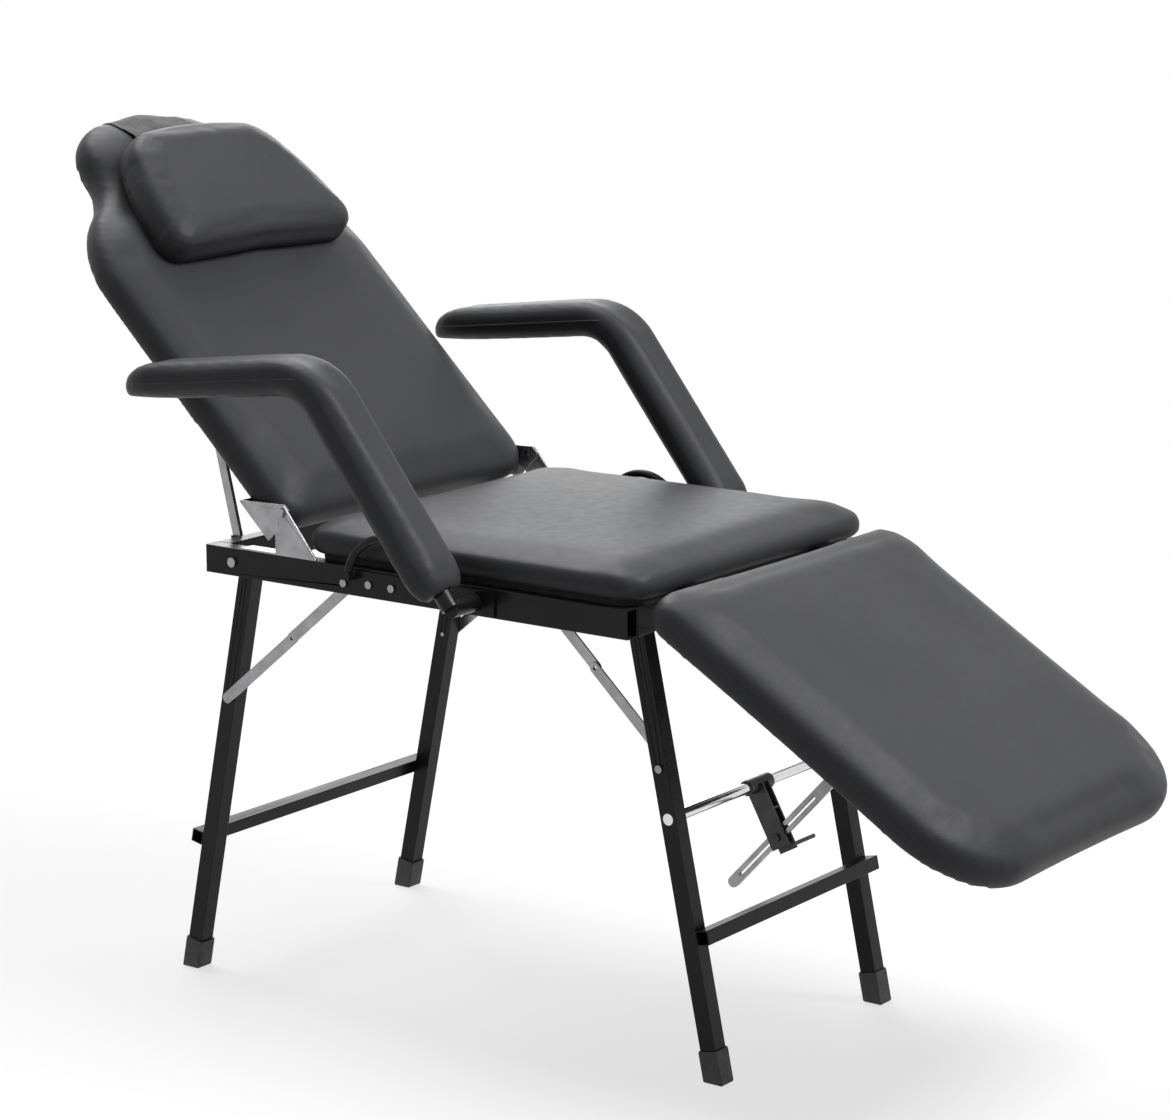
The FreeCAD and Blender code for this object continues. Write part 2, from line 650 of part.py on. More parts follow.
# Footrest: board and pad ahead of two butt hinges on the front cross rail
foot_near = -d.foot_start
foot_far = foot_near - d.foot_long
foot_args = (d.foot_wide, foot_far, foot_near)
foot_outline = round_rectangle(d.foot_wide, foot_far, foot_near, d.foot_corner, d.seat_corner)
foot_low = -d.foot_below
foot_roll = d.foot_thick * foot_roll_share
foot_board = board_solid(foot_outline, *foot_args, foot_low, d.board_inset, d.board_thick)
foot_room = board_solid(
    foot_outline, *foot_args, foot_low, d.board_inset - d.soft_gap, d.board_thick + d.soft_gap
)
foot_pad = pad_solid(foot_outline, *foot_args, foot_low, d.foot_thick, foot_roll)
keep("footrest_board", turned(feature("footrest_board", foot_board), foot_pivot, d.foot_drop))
foot_cushion = feature("footrest_cushion", foot_pad.cut(foot_room))
keep("footrest_cushion", turned(foot_cushion, foot_pivot, d.foot_drop))
barrel = d.foot_barrel_radius
third = d.foot_hinge_wide / 3
hinge_x = d.foot_hinge_spread / 2
fixed_leaves = []
moving_leaves = []
hinge_pins = []
for side, x in (("left", hinge_x), ("right", -hinge_x)):
    leaf = box(
        f"{side}_fixed_leaf",
        ("foot_hinge_wide", "foot_leaf_thick", foot_pivot[1] - rail_low - barrel),
        (x - d.foot_hinge_wide / 2, rail_front - d.foot_leaf_thick, rail_low + barrel),
    )
    middle_barrel = fuse(
        f"{side}_fixed_knuckle",
        rod_x(f"{side}_fixed_barrel", "foot_barrel_radius", third, (x, *foot_pivot)),
        box(
            f"{side}_fixed_neck",
            (third, d.foot_pivot_ahead, barrel),
            (x - third / 2, foot_pivot[0], foot_pivot[1] - barrel),
        ),
        leaf,
    )
    fixed_leaves.append(cut(
        f"{side}_fixed_hinge_leaf",
        middle_barrel,
        hole_x(f"{side}_fixed_bore", hole_radius, x - third, x + third, *foot_pivot),
    ))
    knuckles = [
        rod_x(
            f"{side}_moving_barrel_{number}",
            "foot_barrel_radius",
            third - d.hinge_gap,
            (x + offset * (third + d.hinge_gap / 2), 0, 0),
        )
        for number, offset in enumerate((-1, 1))
    ]
    necks = [
        box(
            f"{side}_moving_neck_{number}",
            (third - d.hinge_gap, barrel, d.foot_below + d.foot_leaf_thick),
            (
                x + offset * (third + d.hinge_gap / 2) - (third - d.hinge_gap) / 2,
                -barrel,
                foot_low - d.foot_leaf_thick,
            ),
        )
        for number, offset in enumerate((-1, 1))
    ]
    flap = box(
        f"{side}_moving_leaf",
        ("foot_hinge_wide", "foot_leaf_long", "foot_leaf_thick"),
        (x - d.foot_hinge_wide / 2, -barrel - d.foot_leaf_long, foot_low - d.foot_leaf_thick),
    )
    moving = cut(
        f"{side}_moving_hinge_leaf",
        fuse(f"{side}_moving_hinge", *knuckles, *necks, flap),
        hole_x(f"{side}_moving_bore", hole_radius, x - d.foot_hinge_wide, x + d.foot_hinge_wide, 0, 0),
    )
    moving_leaves.append(moving)
    hinge_pins.append(rod_x(f"{side}_foot_pin", "pin_radius", d.foot_hinge_wide, (x, *foot_pivot)))
keep("footrest_fixed_leaves", group("footrest_fixed_leaves", *fixed_leaves))
moving_pair = group("footrest_moving_leaves", *moving_leaves)
keep("footrest_moving_leaves", turned(moving_pair, foot_pivot, d.foot_drop))
keep("footrest_hinge_pins", group("footrest_hinge_pins", *hinge_pins))

# Footrest strut: a slotted flat bar pinned in a lug under the footrest
strut_pin_level = foot_low - d.strut_lug_drop
cheek_in = d.strut_thick / 2 + d.hinge_gap
strut_lug_outline = [
    (-d.strut_lug_ahead - d.lug_half, foot_low),
    (-d.strut_lug_ahead - d.lug_half, strut_pin_level - d.lug_half),
    (-d.strut_lug_ahead + d.lug_half, strut_pin_level - d.lug_half),
    (-d.strut_lug_ahead + d.lug_half, foot_low),
]
lug_cheek = plate("strut_lug_cheek", strut_lug_outline, "lug_plate", cheek_in)
lug_foot = box(
    "strut_lug_foot",
    (2 * (cheek_in + d.hinge_flange), 2 * d.lug_half, d.lug_plate),
    (-cheek_in - d.hinge_flange, -d.strut_lug_ahead - d.lug_half, foot_low - d.lug_plate),
)
strut_lug = cut(
    "strut_lug_drilled",
    fuse("strut_lug_bent", lug_cheek, mirrored("strut_lug_far_cheek", lug_cheek), lug_foot),
    hole_x(
        "strut_lug_hole", hole_radius, -cheek_in - d.lug_plate, cheek_in + d.lug_plate,
        -d.strut_lug_ahead, strut_pin_level,
    ),
)
keep("strut_lug", turned(strut_lug, foot_pivot, d.foot_drop))
pin_half = cheek_in + d.lug_plate
strut_pin = rod_x(
    "strut_pin_round", "pin_radius", 2 * pin_half, (0, -d.strut_lug_ahead, strut_pin_level)
)
keep("strut_pin", turned(group("strut_pin", strut_pin), foot_pivot, d.foot_drop))
drop = math.radians(d.foot_drop)
strut_root = (
    foot_pivot[0] - d.strut_lug_ahead * math.cos(drop) - strut_pin_level * math.sin(drop),
    foot_pivot[1] - d.strut_lug_ahead * math.sin(drop) + strut_pin_level * math.cos(drop),
)
strut_blank = fuse(
    "strut_blank",
    box(
        "strut_straight",
        ("strut_thick", "strut_long", "strut_wide"),
        (-d.strut_thick / 2, 0, -d.strut_wide / 2),
    ),
    rod_x("strut_head", "strut_wide / 2", d.strut_thick, (0, 0, 0)),
    rod_x("strut_tail", "strut_wide / 2", d.strut_thick, (0, d.strut_long, 0)),
)
strut_slot = box(
    "strut_slot",
    (2 * d.strut_thick, "strut_slot_long", "strut_slot_wide"),
    (-d.strut_thick, d.strut_long - d.strut_slot_long - d.strut_wide, -d.strut_slot_wide / 2),
)
strut_hole = hole_x("strut_hole", hole_radius, -d.strut_thick, d.strut_thick, 0, 0)
keep("footrest_strut", turned(
    cut("footrest_strut", strut_blank, strut_slot, strut_hole), strut_root, -d.strut_angle
))


# Legs: a pair of square tubes, each with a foot cap cut level with the floor
half_leg = d.leg_size / 2
cap_half = half_leg + d.cap_wall


def leg_floor(lean_angle):
    """Length from the pivot down the leg's middle to the floor."""
    return leg_pivot_z / math.cos(math.radians(lean_angle))


def leg(name, lean_angle, x, pivot, holes):
    """One leg tube and its foot cap on the left, placed at its lean; holes are lengths down the leg."""
    floor_at = leg_floor(lean_angle)
    tube_end = floor_at - d.cap_sole
    tube = square_tube(
        name, (d.leg_size, d.leg_size), tube_end + d.leg_above, (-half_leg, -half_leg, -tube_end), "z"
    )
    drilled = cut(name + "_drilled", tube, *[
        hole_x(f"{name}_hole_{number}", radius, -d.leg_size, d.leg_size, 0, -down)
        for number, (radius, down) in enumerate(holes)
    ])
    turned(drilled, pivot, lean_angle, x)
    cap_end = floor_at + d.cap_sole
    cap = cut(
        name + "_cap",
        box(name + "_cap_outside", (2 * cap_half, 2 * cap_half, d.cap_tall + cap_end - tube_end),
            (-cap_half, -cap_half, -cap_end)),
        box(name + "_cap_room", (d.leg_size, d.leg_size, 2 * d.cap_tall), (-half_leg, -half_leg, -tube_end)),
    )
    turned(cap, pivot, lean_angle, x)
    foot_y = pivot[0] + floor_at * math.sin(math.radians(lean_angle))
    below = box(
        name + "_floor",
        (8 * d.leg_size, 8 * d.leg_size, 4 * d.leg_size),
        (x - 4 * d.leg_size, foot_y - 4 * d.leg_size, -4 * d.leg_size),
    )
    return drilled, cut(name + "_foot_cap", cap, below)


front_x = d.front_leg_spread / 2
front_lean = -d.front_leg_lean
bar_hole = d.lock_bar_radius + d.pin_gap
front_leg, front_cap = leg(
    "front_leg", front_lean, front_x, front_pivot,
    [(hole_radius, 0), (bolt_hole, d.stay_down), (bar_hole, d.lock_bar_down)],
)
keep_pair("front_leg", front_leg)
keep_both("front_foot_caps", front_cap)
rear_x = rail_in - d.leg_gap - half_leg
rear_leg, rear_cap = leg(
    "rear_leg", d.rear_leg_lean, rear_x, rear_pivot, [(hole_radius, 0), (bolt_hole, d.stay_down)]
)
keep_pair("rear_leg", rear_leg)
keep_both("rear_foot_caps", rear_cap)
front_bar_half = front_x + half_leg
front_crossbar = square_tube(
    "front_crossbar", (d.crossbar_deep, d.crossbar_wide), 2 * front_bar_half,
    (-front_bar_half, -half_leg - d.crossbar_deep, -d.front_crossbar_down - d.crossbar_wide / 2), "x",
)
keep("front_crossbar", turned(front_crossbar, front_pivot, front_lean))
rear_bar_half = rear_x + half_leg
rear_crossbar = square_tube(
    "rear_crossbar", (d.crossbar_deep, d.crossbar_wide), 2 * rear_bar_half,
    (-rear_bar_half, half_leg, -d.rear_crossbar_down - d.crossbar_wide / 2), "x",
)
keep("rear_crossbar", turned(rear_crossbar, rear_pivot, d.rear_leg_lean))
lock_bar = rod_x("lock_bar_round", "lock_bar_radius", 2 * front_bar_half, (0, 0, -d.lock_bar_down))
keep("lock_bar", turned(group("lock_bar", lock_bar), front_pivot, front_lean))

# Leg pivots: front lugs on the front cross rail, rear bolts and spacers through the side rails
lug_x = front_bar_half + d.hinge_gap
front_lug_outline = [
    (rail_front + d.rail_thick, rail_low),
    (front_pivot[0] + d.lug_half, rail_low),
    (front_pivot[0] + d.lug_half, d.rail_top),
    (rail_front + d.rail_thick, d.rail_top),
]
front_lug = cut(
    "front_leg_lug",
    plate("front_leg_lug_blank", front_lug_outline, "arm_plate_thick", lug_x),
    hole_x("front_lug_hole", hole_radius, lug_x, lug_x + d.arm_plate_thick, *front_pivot),
)
keep_both("front_leg_lugs", front_lug)
front_bolt = bolt_x(
    "front_pivot_bolt", d.pin_radius, d.head_radius, d.head_tall,
    front_x - half_leg, lug_x + d.arm_plate_thick, *front_pivot,
)
keep_both("front_pivot_bolts", front_bolt)
rear_bolt = bolt_x(
    "rear_pivot_bolt", d.pin_radius, d.head_radius, d.head_tall, rear_x - half_leg, rail_out, *rear_pivot
)
keep_both("rear_pivot_bolts", rear_bolt)
spacer_share = 0.4
spacer_wide = d.leg_gap - d.stay_gap
spacer_x = rail_in - spacer_wide / 2
rear_spacer = cut(
    "rear_spacer",
    rod_x("rear_spacer_round", d.leg_size * spacer_share, spacer_wide, (spacer_x, *rear_pivot)),
    hole_x("rear_spacer_hole", hole_radius, rail_in - d.leg_gap, rail_in, *rear_pivot),
)
keep_both("rear_pivot_spacers", rear_spacer)


# Folding stays: two flat links a side, straight when the legs are open
def link(name, length, x, pivot, angle):
    """One flat link from its pivot; x is its inner face."""
    middle = x + d.stay_thick / 2
    blank = fuse(
        name + "_blank",
        box(name + "_straight", ("stay_thick", length, "stay_wide"), (x, 0, -d.stay_wide / 2)),
        rod_x(name + "_root", "stay_wide / 2", d.stay_thick, (middle, 0, 0)),
        rod_x(name + "_knee", "stay_wide / 2", d.stay_thick, (middle, length, 0)),
    )
    drilled = cut(
        name, blank,
        hole_x(name + "_root_hole", bolt_hole, x, x + d.stay_thick, 0, 0),
        hole_x(name + "_knee_hole", bolt_hole, x, x + d.stay_thick, length, 0),
    )
    return turned(drilled, pivot, angle)


def stay(name, pivot, leg_angle, fold, root, lower_x, upper_x):
    """Both links of one stay: together they span root to leg when open, and lie folded on each other."""
    foot = along(pivot, leg_angle, d.stay_down)
    folded = along(pivot, leg_angle + fold, d.stay_down)
    open_span = math.dist(root, foot)
    folded_span = math.dist(root, folded)
    upper_long = (open_span - folded_span) / 2
    lower_long = (open_span + folded_span) / 2
    down = math.degrees(math.atan2(foot[1] - root[1], foot[0] - root[0]))
    upper = link(name + "_upper_link", upper_long, upper_x, root, down)
    lower = link(name + "_lower_link", lower_long, lower_x, foot, down + 180)
    return foot, upper, lower


front_stay_root = (front_pivot[0] + d.front_stay_back, leg_pivot_z - d.stay_drop)
front_lower_x = front_x - half_leg - d.stay_gap - d.stay_thick
front_upper_x = front_lower_x - d.stay_gap - d.stay_thick
front_leg_angle = 270 - d.front_leg_lean
front_stay_foot, front_upper, front_lower = stay(
    "front_stay", front_pivot, front_leg_angle, d.front_fold, front_stay_root, front_lower_x, front_upper_x
)
rear_lower_x = rear_x + half_leg + d.stay_gap
rear_upper_x = rear_lower_x + d.stay_thick + d.stay_gap
rear_stay_foot, rear_upper, rear_lower = stay(
    "rear_stay", rear_pivot, 270 + d.rear_leg_lean, -d.rear_fold, rear_stay_root, rear_lower_x, rear_upper_x
)
for label, item in (
    ("front_stay_upper_links", front_upper),
    ("front_stay_lower_links", front_lower),
    ("rear_stay_upper_links", rear_upper),
    ("rear_stay_lower_links", rear_lower),
):
    keep_both(label, item)
stay_lug_x = front_upper_x - d.stay_gap - d.lug_plate
stay_lug_outline = [
    (front_stay_root[0] - d.lug_half, front_stay_root[1] - d.lug_half),
    (front_stay_root[0] + d.lug_half, front_stay_root[1] - d.lug_half),
    (front_stay_root[0] + d.lug_half, d.rail_top),
    (front_stay_root[0] - d.lug_half, d.rail_top),
]
stay_lug = cut(
    "stay_lug",
    fuse(
        "stay_lug_bent",
        plate("stay_lug_upright", stay_lug_outline, "lug_plate", stay_lug_x),
        box(
            "stay_lug_flange",
            ("hinge_flange", 2 * d.lug_half, "lug_plate"),
            (stay_lug_x - d.hinge_flange, front_stay_root[0] - d.lug_half, d.rail_top - d.lug_plate),
        ),
    ),
    hole_x("stay_lug_hole", bolt_hole, stay_lug_x, front_upper_x, *front_stay_root),
)
keep_both("stay_lugs", stay_lug)
front_root_rivet = rod_x(
    "front_root_rivet", "bolt_radius", front_upper_x + d.stay_thick - stay_lug_x,
    ((front_upper_x + d.stay_thick + stay_lug_x) / 2, *front_stay_root),
)
rear_root_rivet = bolt_x(
    "rear_root_rivet", d.bolt_radius, d.bolt_head_radius, d.bolt_head_tall,
    rear_upper_x, rail_out, *rear_stay_root,
)
keep_both("stay_root_rivets", group("left_root_rivets", front_root_rivet, rear_root_rivet))
front_foot_rivet = bolt_x(
    "front_foot_rivet", d.bolt_radius, d.bolt_head_radius, d.bolt_head_tall,
    front_lower_x, front_bar_half, *front_stay_foot,
)
keep_both("front_stay_bolts", front_foot_rivet)
rear_foot_rivet = rod_x(
    "rear_foot_rivet", "bolt_radius", rear_lower_x + d.stay_thick - rear_x + half_leg,
    ((rear_lower_x + d.stay_thick + rear_x - half_leg) / 2, *rear_stay_foot),
)
keep_both("rear_stay_bolts", rear_foot_rivet)

# Strut lock: a collar on the lock bar carries two cheeks beside the strut, and a release lever
bar_place = along(front_pivot, front_leg_angle, d.lock_bar_down)
cheek_x = d.strut_thick / 2 + d.bracket_play
half_bracket = d.bracket_wide / 2
collar_radius = d.lock_bar_radius + d.bracket_thick
collar = rod_x("lock_collar", collar_radius, d.bracket_collar_long, (0, 0, 0))
near_cheek = box(
    "lock_near_cheek",
    ("bracket_thick", "bracket_wide", "bracket_near_long"),
    (-cheek_x - d.bracket_thick, -half_bracket, -d.bracket_near_long),
)
far_cheek = box(
    "lock_far_cheek",
    ("bracket_thick", "bracket_wide", "bracket_long"),
    (cheek_x, -half_bracket, -d.bracket_long),
)
lock_web = box(
    "lock_web",
    (2 * cheek_x, "bracket_wide", "bracket_thick"),
    (-cheek_x, -half_bracket, -d.bracket_web_down),
)
bolt_at = d.bracket_near_long - half_bracket
lever_at = d.bracket_long - 2 * d.lever_radius
lock_bracket = cut(
    "lock_bracket",
    fuse("lock_bracket_bent", collar, near_cheek, far_cheek, lock_web),
    hole_x("lock_bore", bar_hole, -d.bracket_collar_long, d.bracket_collar_long, 0, 0),
    hole_x("lock_bolt_hole", bolt_hole, -cheek_x - 2 * d.bracket_thick, -cheek_x, 0, -bolt_at),
    hole_x("lock_lever_hole", d.lever_radius, cheek_x, cheek_x + d.bracket_thick, 0, -lever_at),
)
keep("lock_bracket", turned(lock_bracket, bar_place, -d.bracket_angle))
lock_bolt = fuse(
    "lock_bolt",
    rod_x("lock_bolt_shank", "bolt_radius", d.bracket_thick, (-cheek_x - d.bracket_thick / 2, 0, -bolt_at)),
    rod_x(
        "lock_bolt_head", "bolt_head_radius", d.bolt_head_tall,
        (-cheek_x - d.bracket_thick - d.bolt_head_tall / 2, 0, -bolt_at),
    ),
)
keep("lock_bolt", turned(lock_bolt, bar_place, -d.bracket_angle))
lever_total = d.bracket_thick + d.lever_long
lever = rod_x(
    "release_lever_rod", "lever_radius", lever_total,
    (cheek_x + lever_total / 2, 0, -lever_at),
)
keep("release_lever", turned(group("release_lever", lever), bar_place, -d.bracket_angle))


# Armrests: a bent tube inside a long pad, held by a base plate and an arched brace on the rail
def bent_path(start, bend, end, radius):
    """Two straight runs joined by a tangent arc, in the plane of the armrest."""
    first = FreeCAD.Vector(arm_x, *start)
    corner_point = FreeCAD.Vector(arm_x, *bend)
    last = FreeCAD.Vector(arm_x, *end)
    into = (first - corner_point).normalize()
    out = (last - corner_point).normalize()
    half_turn = into.getAngle(out) / 2
    reach = radius / math.tan(half_turn)
    middle_way = (into + out).normalize()
    arc_middle = corner_point + middle_way * (radius / math.sin(half_turn) - radius)
    arc_start = corner_point + into * reach
    arc_end = corner_point + out * reach
    return Part.Wire([
        Part.LineSegment(first, arc_start).toShape(),
        Part.Arc(arc_start, arc_middle, arc_end).toShape(),
        Part.LineSegment(arc_end, last).toShape(),
    ])


def pad_section(place, direction, thick, across_share, drop_share):
    """The armrest pad's section square to a direction, scaled by one share and lowered by another."""
    side = FreeCAD.Vector(1, 0, 0)
    rise = side.cross(direction)
    corner_radius = thick * corner_share
    half_thick = thick / 2
    section = round_rectangle(d.arm_pad_wide, -half_thick, half_thick, corner_radius, corner_radius)
    edges = []
    for stretch in section:
        points = [
            place + (side * x - rise * y) * across_share - rise * (drop_share * thick) for x, y in stretch
        ]
        edges.append(Part.Arc(*points).toShape())
    return Part.Wire(edges)


corner_share = 0.42
post_way = FreeCAD.Vector(0, arm_bend[0] - arm_foot[0], arm_bend[1] - arm_foot[1]).normalize()
rest_way = FreeCAD.Vector(0, arm_tip[0] - arm_bend[0], arm_tip[1] - arm_bend[1]).normalize()
pad_start = (arm_foot[0] + post_way.y * d.arm_heel_up, arm_foot[1] + post_way.z * d.arm_heel_up)
pad_first = FreeCAD.Vector(arm_x, *pad_start)
pad_last = FreeCAD.Vector(arm_x, *arm_tip)
pad_path = bent_path(pad_start, arm_bend, arm_tip, d.arm_bend_radius)
pad_run = pad_path.makePipeShell(
    [
        pad_section(pad_first, post_way, d.arm_post_thick, 1, 0),
        pad_section(pad_last, rest_way, d.arm_pad_thick, 1, 0),
    ],
    True,
    True,
)
tip_shares = ((0, 1, 0), (0.35, 0.92, 0.04), (0.65, 0.75, 0.12), (0.88, 0.5, 0.24), (1, 0.24, 0.34))
tip_wires = [
    pad_section(pad_last + rest_way * (reach_share * d.arm_tip_long), rest_way, d.arm_pad_thick, *shares)
    for reach_share, *shares in tip_shares
]
heel_shares = ((0, 1, 0), (0.45, 0.95, 0), (0.8, 0.82, 0), (1, 0.66, 0))
heel_wires = [
    pad_section(pad_first - post_way * (reach_share * d.arm_heel_long), post_way, d.arm_post_thick, *shares)
    for reach_share, *shares in heel_shares
]
arm_end = (arm_tip[0] - rest_way.y * d.arm_pad_thick, arm_tip[1] - rest_way.z * d.arm_pad_thick)
tube_path = bent_path(arm_foot, arm_bend, arm_end, d.arm_bend_radius)


def round_run(path, radius):
    start = FreeCAD.Vector(arm_x, *arm_foot)
    ring = Part.Wire([Part.Circle(start, post_way, radius).toShape()])
    return path.makePipeShell([ring], True, False)


arm_tube = round_run(tube_path, d.arm_tube_radius)
arm_room = round_run(tube_path, d.arm_tube_radius + d.soft_gap)
stub_long = arm_x - rail_out - d.arm_plate_thick
stub_room = Part.makeCylinder(
    d.arm_tube_radius + d.soft_gap, d.arm_reach, FreeCAD.Vector(rail_out, *arm_foot), FreeCAD.Vector(1, 0, 0)
)
pad_ends = [Part.makeLoft(wires, True, True) for wires in (tip_wires, heel_wires)]
arm_pad = pad_run.fuse(pad_ends).cut(arm_room).cut(stub_room)
arm_stub = rod_x(
    "arm_stub", "arm_tube_radius", stub_long, (rail_out + d.arm_plate_thick + stub_long / 2, *arm_foot)
)
keep_pair("armrest_pad", feature("armrest_pad", arm_pad.removeSplitter()))
keep_pair("armrest_tube", fuse("armrest_tube", feature("armrest_tube_run", arm_tube), arm_stub))
arm_plate = cut(
    "arm_plate",
    box(
        "arm_plate_blank",
        ("arm_plate_thick", "arm_plate_long", "arm_plate_tall"),
        (rail_out, arm_plate_front, arm_plate_z),
    ),
    *[
        hole_x(f"arm_plate_hole_{number}", bolt_hole, rail_out, rail_out + d.arm_plate_thick, y, arm_bolt_z)
        for number, y in enumerate(arm_bolt_places)
    ],
)
keep_both("armrest_plates", arm_plate)
brace_x = rail_out + d.arm_plate_thick + d.brace_radius + d.bolt_head_tall
brace_rear = arm_plate_rear - d.brace_radius
brace_front = brace_rear - d.brace_span
brace_low = arm_bolt_z + d.arm_plate_tall / 2
brace_arc = Part.Arc(
    FreeCAD.Vector(brace_x, brace_rear, brace_low),
    FreeCAD.Vector(brace_x, (brace_rear + brace_front) / 2, brace_low + d.brace_rise),
    FreeCAD.Vector(brace_x, brace_front, brace_low),
)
brace_start = brace_arc.value(brace_arc.FirstParameter)
brace_way = brace_arc.tangent(brace_arc.FirstParameter)[0]
brace_ring = Part.Wire([Part.Circle(brace_start, brace_way, d.brace_radius).toShape()])
brace_run = Part.Wire([brace_arc.toShape()]).makePipeShell([brace_ring], True, False)
brace_feet = [
    box(
        f"brace_foot_{number}",
        (brace_x - rail_out - d.arm_plate_thick + d.brace_radius, 2 * d.brace_radius, 2 * d.brace_radius),
        (rail_out + d.arm_plate_thick, y - d.brace_radius, brace_low - 2 * d.brace_radius),
    )
    for number, y in enumerate((brace_rear, brace_front))
]
keep_both("armrest_braces", fuse("armrest_brace", feature("armrest_brace_rod", brace_run), *brace_feet))
arm_bolts = [
    bolt_x(
        f"arm_bolt_{number}", d.bolt_radius, d.bolt_head_radius, d.bolt_head_tall,
        rail_in, rail_out + d.arm_plate_thick, y, arm_bolt_z,
    )
    for number, y in enumerate(arm_bolt_places)
]
keep_both("armrest_bolts", group("left_armrest_bolts", *arm_bolts))

# Check every object, then write each piece to its own file
doc.recompute()
for item in doc.Objects:
    if "Invalid" in item.State or "Error" in item.State:
        raise ValueError(f"{item.Name} did not build: {item.State}")
os.makedirs("parts", exist_ok=True)
for item in parts:
    if item.Shape.isNull() or not item.Shape.isValid():
        raise ValueError(f"{item.Label} has no valid shape")
for item in parts:
    item.Shape.exportStep(f"parts/{item.Label}.step")
print(len(parts), "pieces written")
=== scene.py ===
import math

import bmesh
import bpy
import numpy
from mathutils import Matrix, Vector


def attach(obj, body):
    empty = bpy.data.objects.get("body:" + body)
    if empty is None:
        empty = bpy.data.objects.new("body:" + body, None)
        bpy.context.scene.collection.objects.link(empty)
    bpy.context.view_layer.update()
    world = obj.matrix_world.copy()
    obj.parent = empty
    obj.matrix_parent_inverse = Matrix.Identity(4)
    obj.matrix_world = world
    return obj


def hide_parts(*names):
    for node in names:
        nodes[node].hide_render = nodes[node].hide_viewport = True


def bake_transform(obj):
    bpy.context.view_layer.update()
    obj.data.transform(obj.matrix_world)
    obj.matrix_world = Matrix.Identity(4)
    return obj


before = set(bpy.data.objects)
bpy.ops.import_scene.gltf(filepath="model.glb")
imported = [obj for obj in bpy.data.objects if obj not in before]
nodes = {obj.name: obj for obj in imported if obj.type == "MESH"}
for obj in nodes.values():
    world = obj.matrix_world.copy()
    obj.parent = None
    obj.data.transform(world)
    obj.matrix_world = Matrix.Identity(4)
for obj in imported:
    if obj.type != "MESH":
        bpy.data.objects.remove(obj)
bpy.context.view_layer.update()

scene = bpy.context.scene
scene.view_settings.view_transform = "Standard"

# Camera: a long lens from the front of the sitter's right side, a little above the seat.
# It stands where the photograph was taken from.
camera_turn = 0.9419
camera_tilt = 0.2076
camera_data = bpy.data.cameras.new("camera")
camera_data.lens = 107.85
camera_data.sensor_width = 36
camera_data.sensor_fit = "HORIZONTAL"
camera_data.clip_end = 40
camera = bpy.data.objects.new("camera", camera_data)
camera.location = (-3.9143, -2.8776, 1.6547)
camera.rotation_euler = (math.pi / 2 - camera_tilt, 0, -camera_turn)
scene.collection.objects.link(camera)
scene.camera = camera

# Studio: a pale floor that fades into a white room. One large soft box hangs high behind the head,
# a smaller one above the footrest, and a dim one stands behind on the sitter's left.
def seen_directly(tree_nodes, tree_links):
    """One for camera, mirror and glass rays, so that the room looks white in them too."""
    path = tree_nodes.new("ShaderNodeLightPath")
    total = path.outputs["Is Camera Ray"]
    for kind in ("Is Glossy Ray", "Is Transmission Ray"):
        either = tree_nodes.new("ShaderNodeMath")
        either.operation = "MAXIMUM"
        tree_links.new(total, either.inputs[0])
        tree_links.new(path.outputs[kind], either.inputs[1])
        total = either.outputs[0]
    return total


floor_half = 15
floor_drop = 0.0005
floor_mesh = bpy.data.meshes.new("floor")
floor_bm = bmesh.new()
bmesh.ops.create_grid(floor_bm, x_segments=1, y_segments=1, size=floor_half)
floor_bm.to_mesh(floor_mesh)
floor_bm.free()
floor = bpy.data.objects.new("floor", floor_mesh)
floor.location = (0, 0, -floor_drop)
scene.collection.objects.link(floor)
floor_paint = bpy.data.materials.new("floor_paint")
floor_paint.use_nodes = True
floor_nodes = floor_paint.node_tree.nodes
floor_links = floor_paint.node_tree.links
floor_shader = floor_nodes["Principled BSDF"]
floor_shader.inputs["Base Color"].default_value = (0.62, 0.62, 0.62, 1)
floor_shader.inputs["Roughness"].default_value = 0.9
floor_shader.inputs["Specular IOR Level"].default_value = 0.1
floor_glow = floor_nodes.new("ShaderNodeEmission")
floor_glow.inputs["Color"].default_value = (1, 1, 1, 1)
floor_mix = floor_nodes.new("ShaderNodeMixShader")
floor_coords = floor_nodes.new("ShaderNodeTexCoord")
floor_reach = floor_nodes.new("ShaderNodeVectorMath")
floor_reach.operation = "LENGTH"
floor_fade = floor_nodes.new("ShaderNodeMapRange")
floor_fade.interpolation_type = "SMOOTHSTEP"
floor_fade.inputs["From Min"].default_value = 0.9
floor_fade.inputs["From Max"].default_value = 2.4
floor_fade.inputs["To Min"].default_value = 0.7
floor_fade.inputs["To Max"].default_value = 1
floor_links.new(floor_coords.outputs["Object"], floor_reach.inputs[0])
floor_links.new(floor_reach.outputs["Value"], floor_fade.inputs["Value"])
floor_share = floor_nodes.new("ShaderNodeMath")
floor_share.operation = "MULTIPLY"
floor_links.new(floor_fade.outputs["Result"], floor_share.inputs[1])
floor_links.new(seen_directly(floor_nodes, floor_links), floor_share.inputs[0])
floor_links.new(floor_share.outputs[0], floor_mix.inputs["Fac"])
floor_links.new(floor_shader.outputs["BSDF"], floor_mix.inputs[1])
floor_links.new(floor_glow.outputs["Emission"], floor_mix.inputs[2])
floor_links.new(floor_mix.outputs["Shader"], floor_nodes["Material Output"].inputs["Surface"])
floor_mesh.materials.append(floor_paint)

